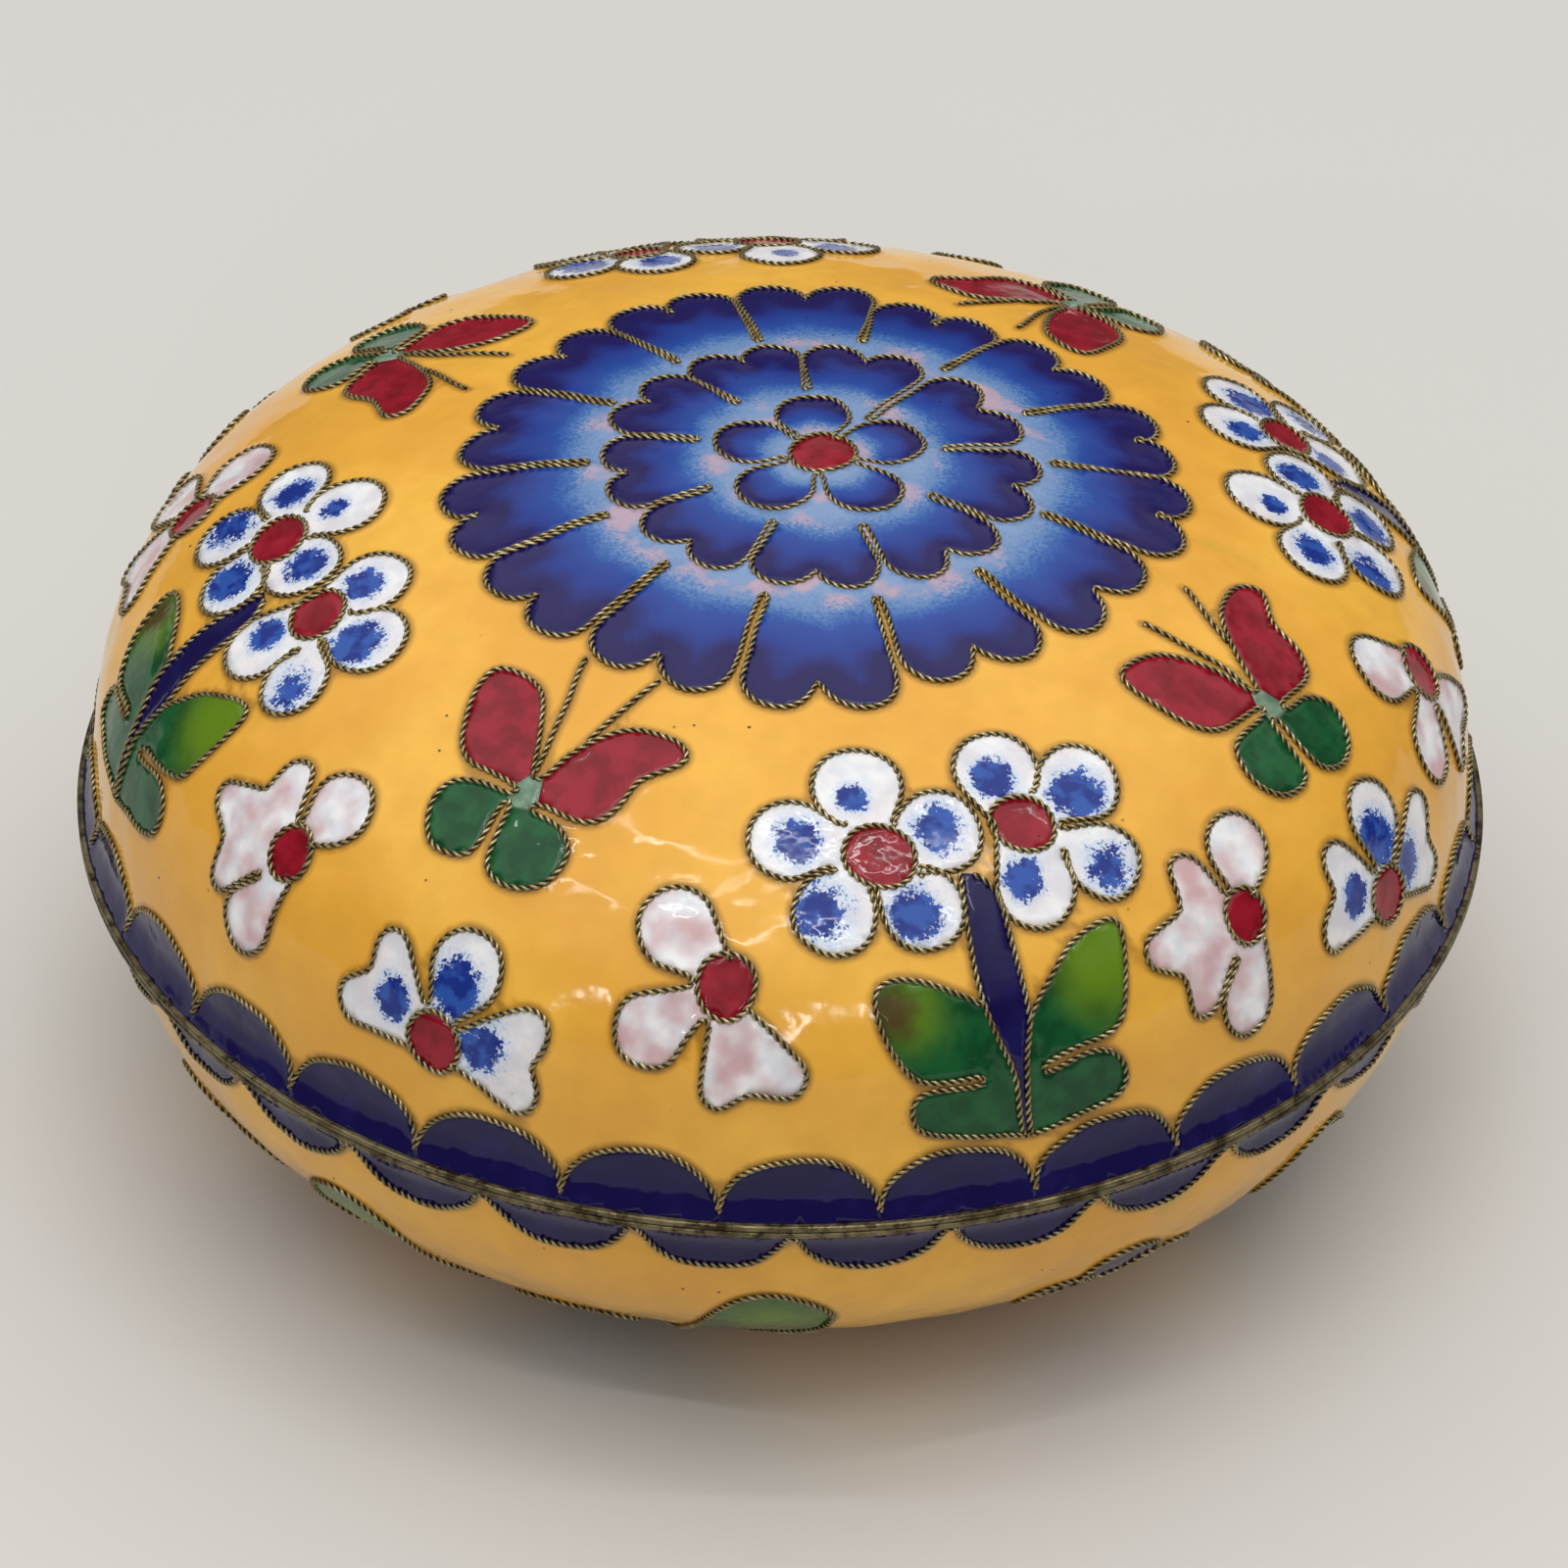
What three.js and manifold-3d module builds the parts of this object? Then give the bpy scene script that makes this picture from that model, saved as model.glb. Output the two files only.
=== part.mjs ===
// A round cloisonne enamel box: a domed lid resting on a bowl, both enamelled copper
// with brass rims, and twisted wires that outline a rose, sprays, butterflies and blossoms.
// Units are millimetres, +Z is up, and the origin is at the centre of the resting face.
import * as THREE from 'three';
import { mergeVertices } from 'three/addons/utils/BufferGeometryUtils.js';
import Module from 'manifold-3d';

const wasm = await Module();
wasm.setup();

// Driving dimensions
const ENAMEL_RADIUS = 49.6;       // lid and bowl, just clear of the joint
const LID_RISE = 28.6;            // joint to the top of the lid
const BASE_HEIGHT = 25.4;         // resting face to the joint
const BOWL_CURVE_DEPTH = 29.3;    // depth at which the bowl's curve would close
const FLARE = 0.7;                // how far the enamel turns out at the joint
const FLARE_HEIGHT = 2.5;
const WALL = 1.5;                 // copper with enamel on both faces
const BAND_PROUD = 0.7;           // brass bands past the flared enamel
const BAND_HEIGHT = 0.5;
const SEAM = 0.05;                // between pieces that sit face to face
const COLLAR_RISE = 3;            // how far the base's collar stands up inside the lid
const COLLAR_DROP = 3;            // and how far it reaches down inside the bowl
const COLLAR_WALL = 0.8;
const COLLAR_CLEARANCE = 0.2;
const FOOT_INSET = 2.6;           // bowl's flat underside past the foot ring
const FOOT_HEIGHT = 2;
const FOOT_WALL = 1.6;
const FOOT_SPREAD = 0.6;
const WIRE_WIDTH = 0.5;
const WIRE_HEIGHT = 0.35;
const WIRE_LIFT = 0.1;            // wire to enamel
const WIRE_SPACE = 0.1;           // between the two runs of wire in a slot

// Shape exponents of the two profiles, and how finely round things are divided
const LID_CURVE = { across: 2.2, up: 3.0 };
const BOWL_CURVE = { across: 1.958, up: 2.2745 };
const SIDES = 32;
const ARC_POINTS = { small: 3, large: 4 };
const LARGE_LOBE = 2.6;
const PROFILE_STEPS = 6;
const SKIN_STEPS = 80;
const LONGEST_SPAN = 6.5;
const SHARPEST_MITRE = 0.6;       // cosine of half the turn past which a corner is cut short
const LOBE_SWELL = 1.06;          // so that a lobe of few sides keeps its size
const WELD_DISTANCE = 0.0001;

// The rose, in distances over the enamel. Each petal is given by the angle of the slot on its left
// and its reach from the rose's centre, and where that slot runs deeper, by the slot's inner end
const ROSE_CENTRE = [2.3, -2.4];
const OUTER_PETALS = [
  [106, 25.4], [79.5, 23.7], [55, 24.3, 15.2], [26.7, 25.5], [3.9, 26], [-18.3, 24.7], [-48.2, 24.4],
  [-76, 26], [-103.2, 25.9], [-129.6, 26.2], [-154.6, 26.5], [-178, 25.3], [-205, 25.3],
  [-230.4, 25.6],
];
const INNER_PETALS = [
  [96.5, 14.9], [56, 15.1, 5.8], [9.5, 15.3], [-28.9, 15.2], [-70.6, 14.9], [-110.9, 15], [-151.4, 15.2],
  [-191.3, 15.6], [-227.6, 15.3],
];
const HEART_PETALS = [[130, 7.6], [62, 7.6], [-15, 7.6], [-91, 7.6], [-164, 7.6]];
const OUTER_RING = { slot: 16, notch: 2.4, lobe: 2.5 };
const INNER_RING = { slot: 8.6, notch: 1.9, lobe: 2.2 };
const HEART = { slot: 2.35, lobe: 2.6 };
const LOBE_PLACES = [0.26, 0.74]; // the two lobes of a petal, as shares of its width
const ROSE_EYE = { radius: 2.1, point: 0.3, sharpness: 4, turn: 60 };
const EYE_POINTS = 5;

// Where the motifs sit. They are drawn to one scale, and then fitted to the lid so that the lowest
// of them comes down to the line of the scallops' tops. Each has its degrees round the lid, then
// its distance from the middle, then a butterfly's feelers' reach
const SPRAYS = { front: [-74, 45], right: [9, 44.2], back: [100, 41.5], left: [-163.4, 41.3] };
const BUTTERFLIES = [[-116, 39, 12], [-32.5, 40.6, 10.6], [51.4, 34.8, 9.8], [150, 35, 10.6]];
const BLOSSOMS = [
  ['pinkLeft', -135.1, 48.3], ['blueWhite', -117.4, 55.3], ['pinkRight', -94.1, 49],
  ['pinkLeft', -48.9, 50.1], ['blueWhite', -32.7, 55.1], ['pinkRight', -12.1, 48.8],
  ['pinkLeft', 37, 48.5], ['blueWhite', 54, 55.3], ['pinkRight', 76, 48.8],
  ['pinkLeft', 134, 48.3], ['blueWhite', 152, 55.2], ['pinkRight', 176.3, 44.5],
];

// Scallops along both rims: the wire's lowest and highest lines, and the first cusp's angle
const SCALLOP_COUNT = 30;
const LID_SCALLOPS = { from: 1.2, to: 5.2, phase: 2 };
const BASE_SCALLOPS = { from: 1.2, to: 4.6, phase: 7.5 };
const SCALLOP_SHAPE = [[0, 0], [0.28, 0.95], [0.72, 0.95]];

const BAND_RADIUS = ENAMEL_RADIUS + FLARE + BAND_PROUD;
const JOINT = BASE_HEIGHT;

const finishes = {
  enamel: { color: 0xe6a93a, roughness: 0.25, metalness: 0 },
  brass: { color: 0x9a8a5c, roughness: 0.4, metalness: 1 },
  wire: { color: 0x6b5630, roughness: 0.45, metalness: 1 },
};

const box = new THREE.Group();

function add(name, geometry, finish) {
  const mesh = new THREE.Mesh(geometry, new THREE.MeshStandardMaterial(finishes[finish]));
  mesh.name = name;
  box.add(mesh);
}

// Profiles

// Radius and distance from the joint of a dome that is full at the shoulder and turns out at its rim
function domeProfile(radius, height, curve, steps) {
  const lowest = Math.asin((FLARE_HEIGHT / height) ** (curve.up / 2));
  const points = [[0, height]];
  for (let i = 1; i <= steps; i += 1) {
    const angle = Math.PI / 2 + (lowest - Math.PI / 2) * i / steps;
    points.push([
      radius * Math.cos(angle) ** (2 / curve.across),
      height * Math.sin(angle) ** (2 / curve.up),
    ]);
  }
  points.push([radius + FLARE, 0]);
  return points;
}

// The stretch of a profile between two distances from the joint
function between(profile, near, far) {
  const kept = [];
  profile.forEach(([out, away], i) => {
    if (i > 0) {
      const [lastOut, lastAway] = profile[i - 1];
      for (const level of [far, near]) {
        if ((lastAway - level) * (away - level) < 0) {
          const share = (level - lastAway) / (away - lastAway);
          kept.push([lastOut + share * (out - lastOut), level]);
        }
      }
    }
    if (away >= near && away <= far) kept.push([out, away]);
  });
  return kept;
}

// A turned body from [radius, height] points that run counterclockwise round its section
function turned(points) {
  const geometry = new THREE.LatheGeometry(points.map(([r, z]) => new THREE.Vector2(r, z)), SIDES);
  return geometry.rotateX(Math.PI / 2);
}

const ring = (points) => turned([...points, points[0]]);

// The enamel's outer face as a flat map: distance along it from its middle, and the way round.
// The profile gives radius and height, from the middle to the joint
function makeSkin(profile) {
  const lengths = [0];
  for (let i = 1; i < profile.length; i += 1) {
    const [r0, z0] = profile[i - 1];
    const [r1, z1] = profile[i];
    lengths.push(lengths[i - 1] + Math.hypot(r1 - r0, z1 - z0));
  }
  const total = lengths[lengths.length - 1];
  const facing = Math.sign(profile[0][1] - profile[profile.length - 1][1]);
  function at([u, v]) {
    const distance = Math.min(Math.hypot(u, v), total);
    let i = 1;
    while (i < lengths.length - 1 && lengths[i] < distance) i += 1;
    const [r0, z0] = profile[i - 1];
    const [r1, z1] = profile[i];
    const length = lengths[i] - lengths[i - 1];
    const share = (distance - lengths[i - 1]) / length;
    const radius = r0 + share * (r1 - r0);
    const outward = facing * (z0 - z1) / length;
    const upward = facing * (r1 - r0) / length;
    const around = Math.atan2(v, u);
    const cos = Math.cos(around);
    const sin = Math.sin(around);
    return {
      point: new THREE.Vector3(radius * cos, radius * sin, z0 + share * (z1 - z0)),
      normal: new THREE.Vector3(outward * cos, outward * sin, upward),
    };
  }
  return { at, total };
}

// Wires

// Adds a point halfway along each span too long to follow the dome
function divided(route, closed) {
  const points = [];
  route.forEach((point, i) => {
    points.push(point);
    const [x, y] = point;
    const [nextX, nextY] = route[(i + 1) % route.length];
    const long = Math.hypot(nextX - x, nextY - y) > LONGEST_SPAN;
    if (long && (closed || i + 1 < route.length)) points.push([(x + nextX) / 2, (y + nextY) / 2]);
  });
  return points;
}

// A wire lying on the enamel: a three-sided ridge along a route of points on the map
function ridge(skin, route, closed) {
  const stations = divided(route, closed).map(skin.at);
  const count = stations.length;
  const clamped = (i) => THREE.MathUtils.clamp(i, 0, count - 1);
  const step = (i, by) => stations[closed ? (i + by + count) % count : clamped(i + by)];
  const positions = [];
  const faces = [];
  stations.forEach(({ point, normal }, i) => {
    const into = point.clone().sub(step(i, -1).point).normalize();
    const out = step(i, 1).point.clone().sub(point).normalize();
    const along = into.clone().add(out).normalize();
    const across = new THREE.Vector3().crossVectors(normal, along).normalize();
    const turning = into.lengthSq() > 0 && out.lengthSq() > 0;
    const half = WIRE_WIDTH / 2 / (turning ? Math.max(SHARPEST_MITRE, along.dot(out)) : 1);
    const foot = point.clone().addScaledVector(normal, WIRE_LIFT);
    positions.push(...foot.clone().addScaledVector(across, half));
    positions.push(...foot.clone().addScaledVector(across, -half));
    positions.push(...foot.clone().addScaledVector(normal, WIRE_HEIGHT));
  });
  const spans = closed ? count : count - 1;
  for (let i = 0; i < spans; i += 1) {
    const a = i * 3;
    const b = ((i + 1) % count) * 3;
    for (const [p, q] of [[0, 1], [1, 2], [2, 0]]) {
      faces.push(a + p, b + p, b + q, a + p, b + q, a + q);
    }
  }
  if (!closed) {
    const end = (count - 1) * 3;
    faces.push(0, 1, 2, end, end + 2, end + 1);
  }
  const vertProperties = new Float32Array(positions);
  return new wasm.Manifold(new wasm.Mesh({ numProp: 3, vertProperties, triVerts: new Uint32Array(faces) }));
}

// Joins the wires of one motif where they touch, and makes them one mesh
function wireMesh(skin, wires) {
  const joined = wires
    .map(({ route, closed }) => ridge(skin, route, closed))
    .reduce((whole, part) => whole.add(part));
  const { vertProperties, triVerts } = joined.getMesh();
  const geometry = new THREE.BufferGeometry();
  geometry.setAttribute('position', new THREE.BufferAttribute(vertProperties, 3));
  geometry.setIndex(new THREE.BufferAttribute(triVerts, 1));
  return mergeVertices(geometry, WELD_DISTANCE);
}

// Outlines

const radians = THREE.MathUtils.degToRad;
const polar = (distance, degrees) => [
  distance * Math.cos(radians(degrees)),
  distance * Math.sin(radians(degrees)),
];

// A wire bent round the lobes of a flower: each lobe is { turn, reach, radius } from the flower's
// middle, and after it the wire dips in to { turn, distance }, as a slot of two runs or a notch.
// A blossom seen from the side starts and ends where its wire meets the eye
function lobedRoute(centre, lobes, closed) {
  const route = [];
  const dips = lobes.map(({ dip }) => {
    if (!dip) return null;
    const [x, y] = polar(dip.distance, dip.turn);
    const [dx, dy] = polar(dip.slot ? (WIRE_WIDTH + WIRE_SPACE) / 2 : 0, dip.turn - 90);
    return { before: [x - dx, y - dy], after: [x + dx, y + dy], slot: dip.slot };
  });
  lobes.forEach(({ turn, reach, radius, start, end }, i) => {
    const last = dips[(i - 1 + lobes.length) % lobes.length];
    const next = dips[i];
    const [x, y] = polar(reach - radius, turn);
    const from = start ?? last.after;
    const to = end ?? next.before;
    const side = (target, sign) => {
      const away = Math.hypot(target[0] - x, target[1] - y);
      const facing = Math.atan2(target[1] - y, target[0] - x);
      return facing + sign * Math.acos(Math.min(1, radius / away));
    };
    let first = side(from, -1);
    let final = side(to, 1);
    while (final > first) final -= 2 * Math.PI;
    if (start) route.push(start);
    const arcPoints = radius < LARGE_LOBE ? ARC_POINTS.small : ARC_POINTS.large;
    const swollen = radius * LOBE_SWELL;
    for (let k = 0; k < arcPoints; k += 1) {
      const angle = first + (final - first) * k / (arcPoints - 1);
      route.push([x + swollen * Math.cos(angle), y + swollen * Math.sin(angle)]);
    }
    if (end) route.push(end);
    if (next) route.push(next.before);
    if (next?.slot) route.push(next.after);
  });
  return { route: route.map(([x, y]) => [x + centre[0], y + centre[1]]), closed };
}

// The pointed ring of wire round the rose's red eye
function eyeRoute([x, y], { radius, point, sharpness, turn }) {
  const route = [];
  for (let i = 0; i < EYE_POINTS; i += 1) {
    const away = 2 * Math.PI * i / EYE_POINTS;
    const out = radius * (1 + point * ((1 + Math.cos(away)) / 2) ** sharpness);
    const [dx, dy] = polar(out, turn + THREE.MathUtils.radToDeg(away));
    route.push([x + dx, y + dy]);
  }
  return { route, closed: true };
}

// A ring of the rose: petals between radial slots, round, or with a notch that parts two lobes
function ringRoute(petals, { slot, notch, lobe }) {
  const lobes = [];
  petals.forEach(([left, reach], i) => {
    const [nextLeft, , deeper] = petals[(i + 1) % petals.length];
    const right = nextLeft < left ? nextLeft : nextLeft - 360;
    const turnAt = (share) => left + share * (right - left);
    const dip = { turn: right, distance: deeper ?? slot, slot: true };
    if (notch) {
      const split = { turn: turnAt(0.5), distance: reach - notch, slot: false };
      lobes.push({ turn: turnAt(LOBE_PLACES[0]), reach, radius: lobe, dip: split });
      lobes.push({ turn: turnAt(LOBE_PLACES[1]), reach, radius: lobe, dip });
    } else {
      lobes.push({ turn: turnAt(0.5), reach, radius: lobe, dip });
    }
  });
  return lobedRoute(ROSE_CENTRE, lobes, true);
}

// Motifs, drawn with x to the right and y towards the middle of the lid

const deep = (turn, distance) => ({ turn, distance, slot: true });
const shallow = (turn, distance) => ({ turn, distance, slot: false });

const doubleFlower = {
  left: {
    centre: [-5, 5.6],
    lobes: [
      { turn: 157, reach: 8.2, radius: 2.75, dip: deep(117, 2.6) },
      { turn: 87, reach: 7.8, radius: 3, dip: deep(38, 2.7) },
      { turn: 8, reach: 7.8, radius: 2.9, dip: deep(-36, 3.6) },
      { turn: -59, reach: 7.8, radius: 2.8, dip: deep(-101, 2.3) },
      { turn: -134, reach: 7.6, radius: 2.8, dip: deep(-168, 2.6) },
    ],
  },
  right: {
    centre: [5.9, 5.9],
    lobes: [
      { turn: 104, reach: 7.3, radius: 2.9, dip: deep(70, 2.6) },
      { turn: 33, reach: 8, radius: 2.8, dip: deep(-6, 2.2) },
      { turn: -31, reach: 8.2, radius: 2.6, dip: deep(-42, 2.7) },
      { turn: -95, reach: 7.1, radius: 2.8, dip: shallow(170, 2.1) },
    ],
  },
};

const foliage = {
  stemLeft: [[0.6, 3.15], [0.2, -0.5], [0.5, -5.5], [2.2, -9.8], [3.3, -14.9]],
  stemRight: [[1.4, 3], [2.8, 1.2], [3.3, -3.3], [3.8, -6.5], [3.3, -9.8], [3.9, -14.8]],
  leafLeft: [
    [0.45, -5.4], [-3.5, -3.3], [-6.9, -3.4], [-6.3, -7.6], [-4.5, -9.9], [-0.3, -10.1], [-0.3, -10.7],
    [-4.6, -10.7], [-5.5, -12.2], [-4, -13.8], [3.9, -15.1],
  ],
  leafRight: [
    [3.85, -6.6], [7.2, -2.4], [10.8, -0.9], [11.2, -5.6], [10.2, -8], [5, -9.8], [5.2, -10.4],
    [9.2, -9.3], [11.4, -10.6], [10.8, -12.9], [3.9, -15.1],
  ],
};

const butterfly = {
  outline: [
    [-0.45, 2.3], [-1.4, 5.6], [-3, 8.4], [-5.5, 9.4], [-7.1, 8.6], [-6.8, 4.4], [-5, 1.9], [-1.2, 1.2],
    [-1.2, 0.6], [-5.2, 0.4], [-6.3, -1.8], [-4.9, -4.3], [-2.2, -4.1], [-1.35, -0.3], [-0.75, -0.3],
    [-0.7, -4.2], [1.1, -5.6], [3.6, -4.7], [4.5, -2.3], [3.2, -0.7], [0.9, -0.35], [0.9, 0.3], [4.6, 0.3],
    [6.2, 2], [6.7, 4.4], [8.7, 6.8], [7.2, 8.1], [4.2, 7.6], [1.6, 4.8], [0.35, 2.2],
  ],
  feelers: (reach) => [[[-0.35, 2.45], [-0.5, 5.4], [-1.4, reach]], [[2, 5.7], [4, reach]]],
};

const blossoms = {
  pinkLeft: {
    centre: [0, -0.6],
    lobes: [
      { turn: 253, reach: 7.9, radius: 2.4, start: [1.1, -1.5], dip: deep(228, 2.6) },
      { turn: 212, reach: 7.6, radius: 1.3, dip: shallow(190, 6.6) },
      { turn: 171, reach: 9, radius: 1.1, dip: shallow(150, 5.6) },
      { turn: 122, reach: 6.9, radius: 1.3, dip: deep(104, 2.3) },
      { turn: 69, reach: 7.4, radius: 2.5, end: [1.1, 1.4] },
    ],
  },
  blueWhite: {
    centre: [0, -0.5],
    lobes: [
      { turn: 171, reach: 8.4, radius: 1.6, start: [-1.6, -1], dip: shallow(150, 6.6) },
      { turn: 131, reach: 7.9, radius: 1.5, dip: deep(105, 2.3) },
      { turn: 72, reach: 8.2, radius: 2.7, dip: deep(38, 2.3) },
      { turn: 22, reach: 9.6, radius: 1.6, dip: shallow(6, 8.2) },
      { turn: -10, reach: 9.4, radius: 1.6, end: [2, -1.2] },
    ],
  },
  pinkRight: {
    centre: [0, 0.3],
    lobes: [
      { turn: -48, reach: 8.6, radius: 1.5, start: [1.6, -1], dip: shallow(-72, 6.9) },
      { turn: -92, reach: 8, radius: 1.3, dip: deep(-122, 2.3) },
      { turn: -152, reach: 8.4, radius: 2.5, dip: deep(-190, 2.3) },
      { turn: -227, reach: 7.9, radius: 2.6, end: [0.2, 1.9] },
    ],
  },
};

// Sets a motif's wires on the lid's map, at an angle and a distance from the middle
function place([degrees, distance], wires) {
  const [ox, oy] = polar(1, degrees);
  return wires.map(({ route, closed }) => ({
    route: route.map(([x, y]) => [(distance - y) * ox - x * oy, (distance - y) * oy + x * ox]),
    closed,
  }));
}

// A row of scallops round a rim, as one closed wire; distances run from the joint
function scallopWire(skin, { from, to, phase }) {
  const route = [];
  for (let i = 0; i < SCALLOP_COUNT; i += 1) {
    for (const [share, rise] of SCALLOP_SHAPE) {
      const degrees = phase + 360 * (i + share) / SCALLOP_COUNT;
      route.push(polar(skin.total - from - rise * (to - from), degrees));
    }
  }
  return [{ route, closed: true }];
}

// Enamelled copper lid and bowl, with brass at the joint and the foot

const onLid = ([r, away]) => [r, JOINT + away];
const onBase = ([r, away]) => [r, JOINT - away];
const shellEdge = BAND_HEIGHT + SEAM;
const underside = BASE_HEIGHT - FOOT_HEIGHT;
const lidOutside = domeProfile(ENAMEL_RADIUS, LID_RISE, LID_CURVE, PROFILE_STEPS);
const lidInside = domeProfile(ENAMEL_RADIUS - WALL, LID_RISE - WALL, LID_CURVE, PROFILE_STEPS);
const bowlOutside = domeProfile(ENAMEL_RADIUS, BOWL_CURVE_DEPTH, BOWL_CURVE, PROFILE_STEPS);
const bowlInside = domeProfile(ENAMEL_RADIUS - WALL, BOWL_CURVE_DEPTH - WALL, BOWL_CURVE, PROFILE_STEPS);
const radiusAt = (profile, away) => between(profile, away, Infinity).at(-1)[0];
const mouthRadius = ENAMEL_RADIUS - WALL + FLARE;
const narrowest = Math.min(radiusAt(lidInside, COLLAR_RISE), radiusAt(bowlInside, COLLAR_DROP));
const collarRadius = narrowest - COLLAR_CLEARANCE;
const footRadius = radiusAt(bowlOutside, underside) - FOOT_INSET;

const lidShell = () => turned([
  ...between(lidInside, shellEdge, LID_RISE).map(onLid),
  ...between(lidOutside, shellEdge, LID_RISE).map(onLid).reverse(),
]);

const baseBowl = () => turned([
  onBase([0, underside]),
  ...between(bowlOutside, shellEdge, underside).map(onBase),
  ...between(bowlInside, shellEdge, underside - WALL).map(onBase).reverse(),
  onBase([0, underside - WALL]),
]);

const lidBand = () => ring([
  [mouthRadius, SEAM / 2],
  [BAND_RADIUS, SEAM / 2],
  [BAND_RADIUS, BAND_HEIGHT],
  [mouthRadius, BAND_HEIGHT],
].map(onLid));

const baseBandAndCollar = () => ring([
  [collarRadius - COLLAR_WALL, COLLAR_DROP],
  [collarRadius, COLLAR_DROP],
  [collarRadius, BAND_HEIGHT],
  [BAND_RADIUS, BAND_HEIGHT],
  [BAND_RADIUS, SEAM / 2],
  [collarRadius, SEAM / 2],
  [collarRadius, -COLLAR_RISE],
  [collarRadius - COLLAR_WALL, -COLLAR_RISE],
].map(onBase));

const footRing = () => ring([
  [footRadius + FOOT_SPREAD - FOOT_WALL, 0],
  [footRadius + FOOT_SPREAD, 0],
  [footRadius, FOOT_HEIGHT - SEAM],
  [footRadius - FOOT_WALL, FOOT_HEIGHT - SEAM],
]);

add('lid_shell', lidShell(), 'enamel');
add('lid_rim_band', lidBand(), 'brass');
add('base_bowl', baseBowl(), 'enamel');
add('base_rim_and_collar', baseBandAndCollar(), 'brass');
add('foot_ring', footRing(), 'brass');

// The wires, laid on the true curves of the lid and the bowl

const lidSkin = makeSkin(domeProfile(ENAMEL_RADIUS, LID_RISE, LID_CURVE, SKIN_STEPS).map(onLid));
const bowlCurve = domeProfile(ENAMEL_RADIUS, BOWL_CURVE_DEPTH, BOWL_CURVE, SKIN_STEPS);
const bowlSkin = makeSkin([[0, underside], ...between(bowlCurve, 0, underside)].map(onBase));

const sprayWires = [
  lobedRoute(doubleFlower.left.centre, doubleFlower.left.lobes, true),
  lobedRoute(doubleFlower.right.centre, doubleFlower.right.lobes, true),
  ...Object.values(foliage).map((route) => ({ route, closed: false })),
];
const butterflyWires = (reach) => [
  { route: butterfly.outline, closed: true },
  ...butterfly.feelers(reach).map((route) => ({ route, closed: false })),
];
const blossomWires = ({ centre, lobes }) => [lobedRoute(centre, lobes, true)];

const motifs = new Map([
  ['rose_outer_wire', [ringRoute(OUTER_PETALS, OUTER_RING)]],
  ['rose_inner_wire', [ringRoute(INNER_PETALS, INNER_RING)]],
  ['rose_heart_wire', [ringRoute(HEART_PETALS, HEART), eyeRoute(ROSE_CENTRE, ROSE_EYE)]],
]);
for (const [side, spot] of Object.entries(SPRAYS)) {
  motifs.set(`spray_wire_${side}`, place(spot, sprayWires));
}
BUTTERFLIES.forEach(([degrees, distance, reach], i) => {
  motifs.set(`butterfly_wire_${i + 1}`, place([degrees, distance], butterflyWires(reach)));
});
BLOSSOMS.forEach(([kind, ...spot], i) => {
  motifs.set(`blossom_wire_${i + 1}`, place(spot, blossomWires(blossoms[kind])));
});

const drawnPoints = [...motifs.values()].flat().flatMap(({ route }) => route);
const outermost = Math.max(...drawnPoints.map(([u, v]) => Math.hypot(u, v)));
const patternScale = (lidSkin.total - LID_SCALLOPS.to) / outermost;
const scaled = ({ route, closed }) => ({
  route: route.map(([u, v]) => [u * patternScale, v * patternScale]),
  closed,
});
motifs.forEach((wires, name) => add(name, wireMesh(lidSkin, wires.map(scaled)), 'wire'));
add('lid_scallop_wire', wireMesh(lidSkin, scallopWire(lidSkin, LID_SCALLOPS)), 'wire');
add('base_scallop_wire', wireMesh(bowlSkin, scallopWire(bowlSkin, BASE_SCALLOPS)), 'wire');

export default box;
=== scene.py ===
"""A round cloisonne enamel box: a domed lid on a bowl, amber yellow enamel on copper, with brass
rims and twisted brass wire round a blue rose, flower sprays, butterflies and blossoms.

Sizes are in millimetres until a mesh is made, where they become metres. +Z is up."""

import math
from functools import partial

import bmesh
import bpy
import numpy as np
from mathutils import Matrix, Vector, kdtree
from mathutils.geometry import delaunay_2d_cdt


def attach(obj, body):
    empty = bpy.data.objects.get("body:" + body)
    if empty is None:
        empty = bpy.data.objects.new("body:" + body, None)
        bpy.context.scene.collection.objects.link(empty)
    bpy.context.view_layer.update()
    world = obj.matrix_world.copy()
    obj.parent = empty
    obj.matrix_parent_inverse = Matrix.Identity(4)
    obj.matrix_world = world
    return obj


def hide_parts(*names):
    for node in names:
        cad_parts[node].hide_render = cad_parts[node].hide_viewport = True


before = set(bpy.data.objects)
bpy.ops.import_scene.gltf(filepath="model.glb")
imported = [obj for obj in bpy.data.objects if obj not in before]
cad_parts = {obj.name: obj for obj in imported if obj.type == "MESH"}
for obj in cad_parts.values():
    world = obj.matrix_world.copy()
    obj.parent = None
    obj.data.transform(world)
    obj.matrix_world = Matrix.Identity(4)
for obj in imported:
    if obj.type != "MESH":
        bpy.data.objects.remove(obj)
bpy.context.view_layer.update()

MM = 0.001

# The box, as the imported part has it
ENAMEL_RADIUS = 49.6
LID_RISE = 28.6
JOINT = 25.4
BOWL_CURVE_DEPTH = 29.3
FLARE = 0.7
FLARE_HEIGHT = 2.5
WALL = 1.5
BAND_RADIUS = 51.0
BAND_HEIGHT = 0.5
SEAM = 0.05
COLLAR_RISE = 3.0
COLLAR_DROP = 3.0
COLLAR_WALL = 0.8
COLLAR_RADIUS = 47.64
FOOT_RADIUS = 27.92
FOOT_HEIGHT = 2.0
FOOT_WALL = 1.6
FOOT_SPREAD = 0.6
LID_CURVE = (2.2, 3.0)
BOWL_CURVE = (1.958, 2.2745)

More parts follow.
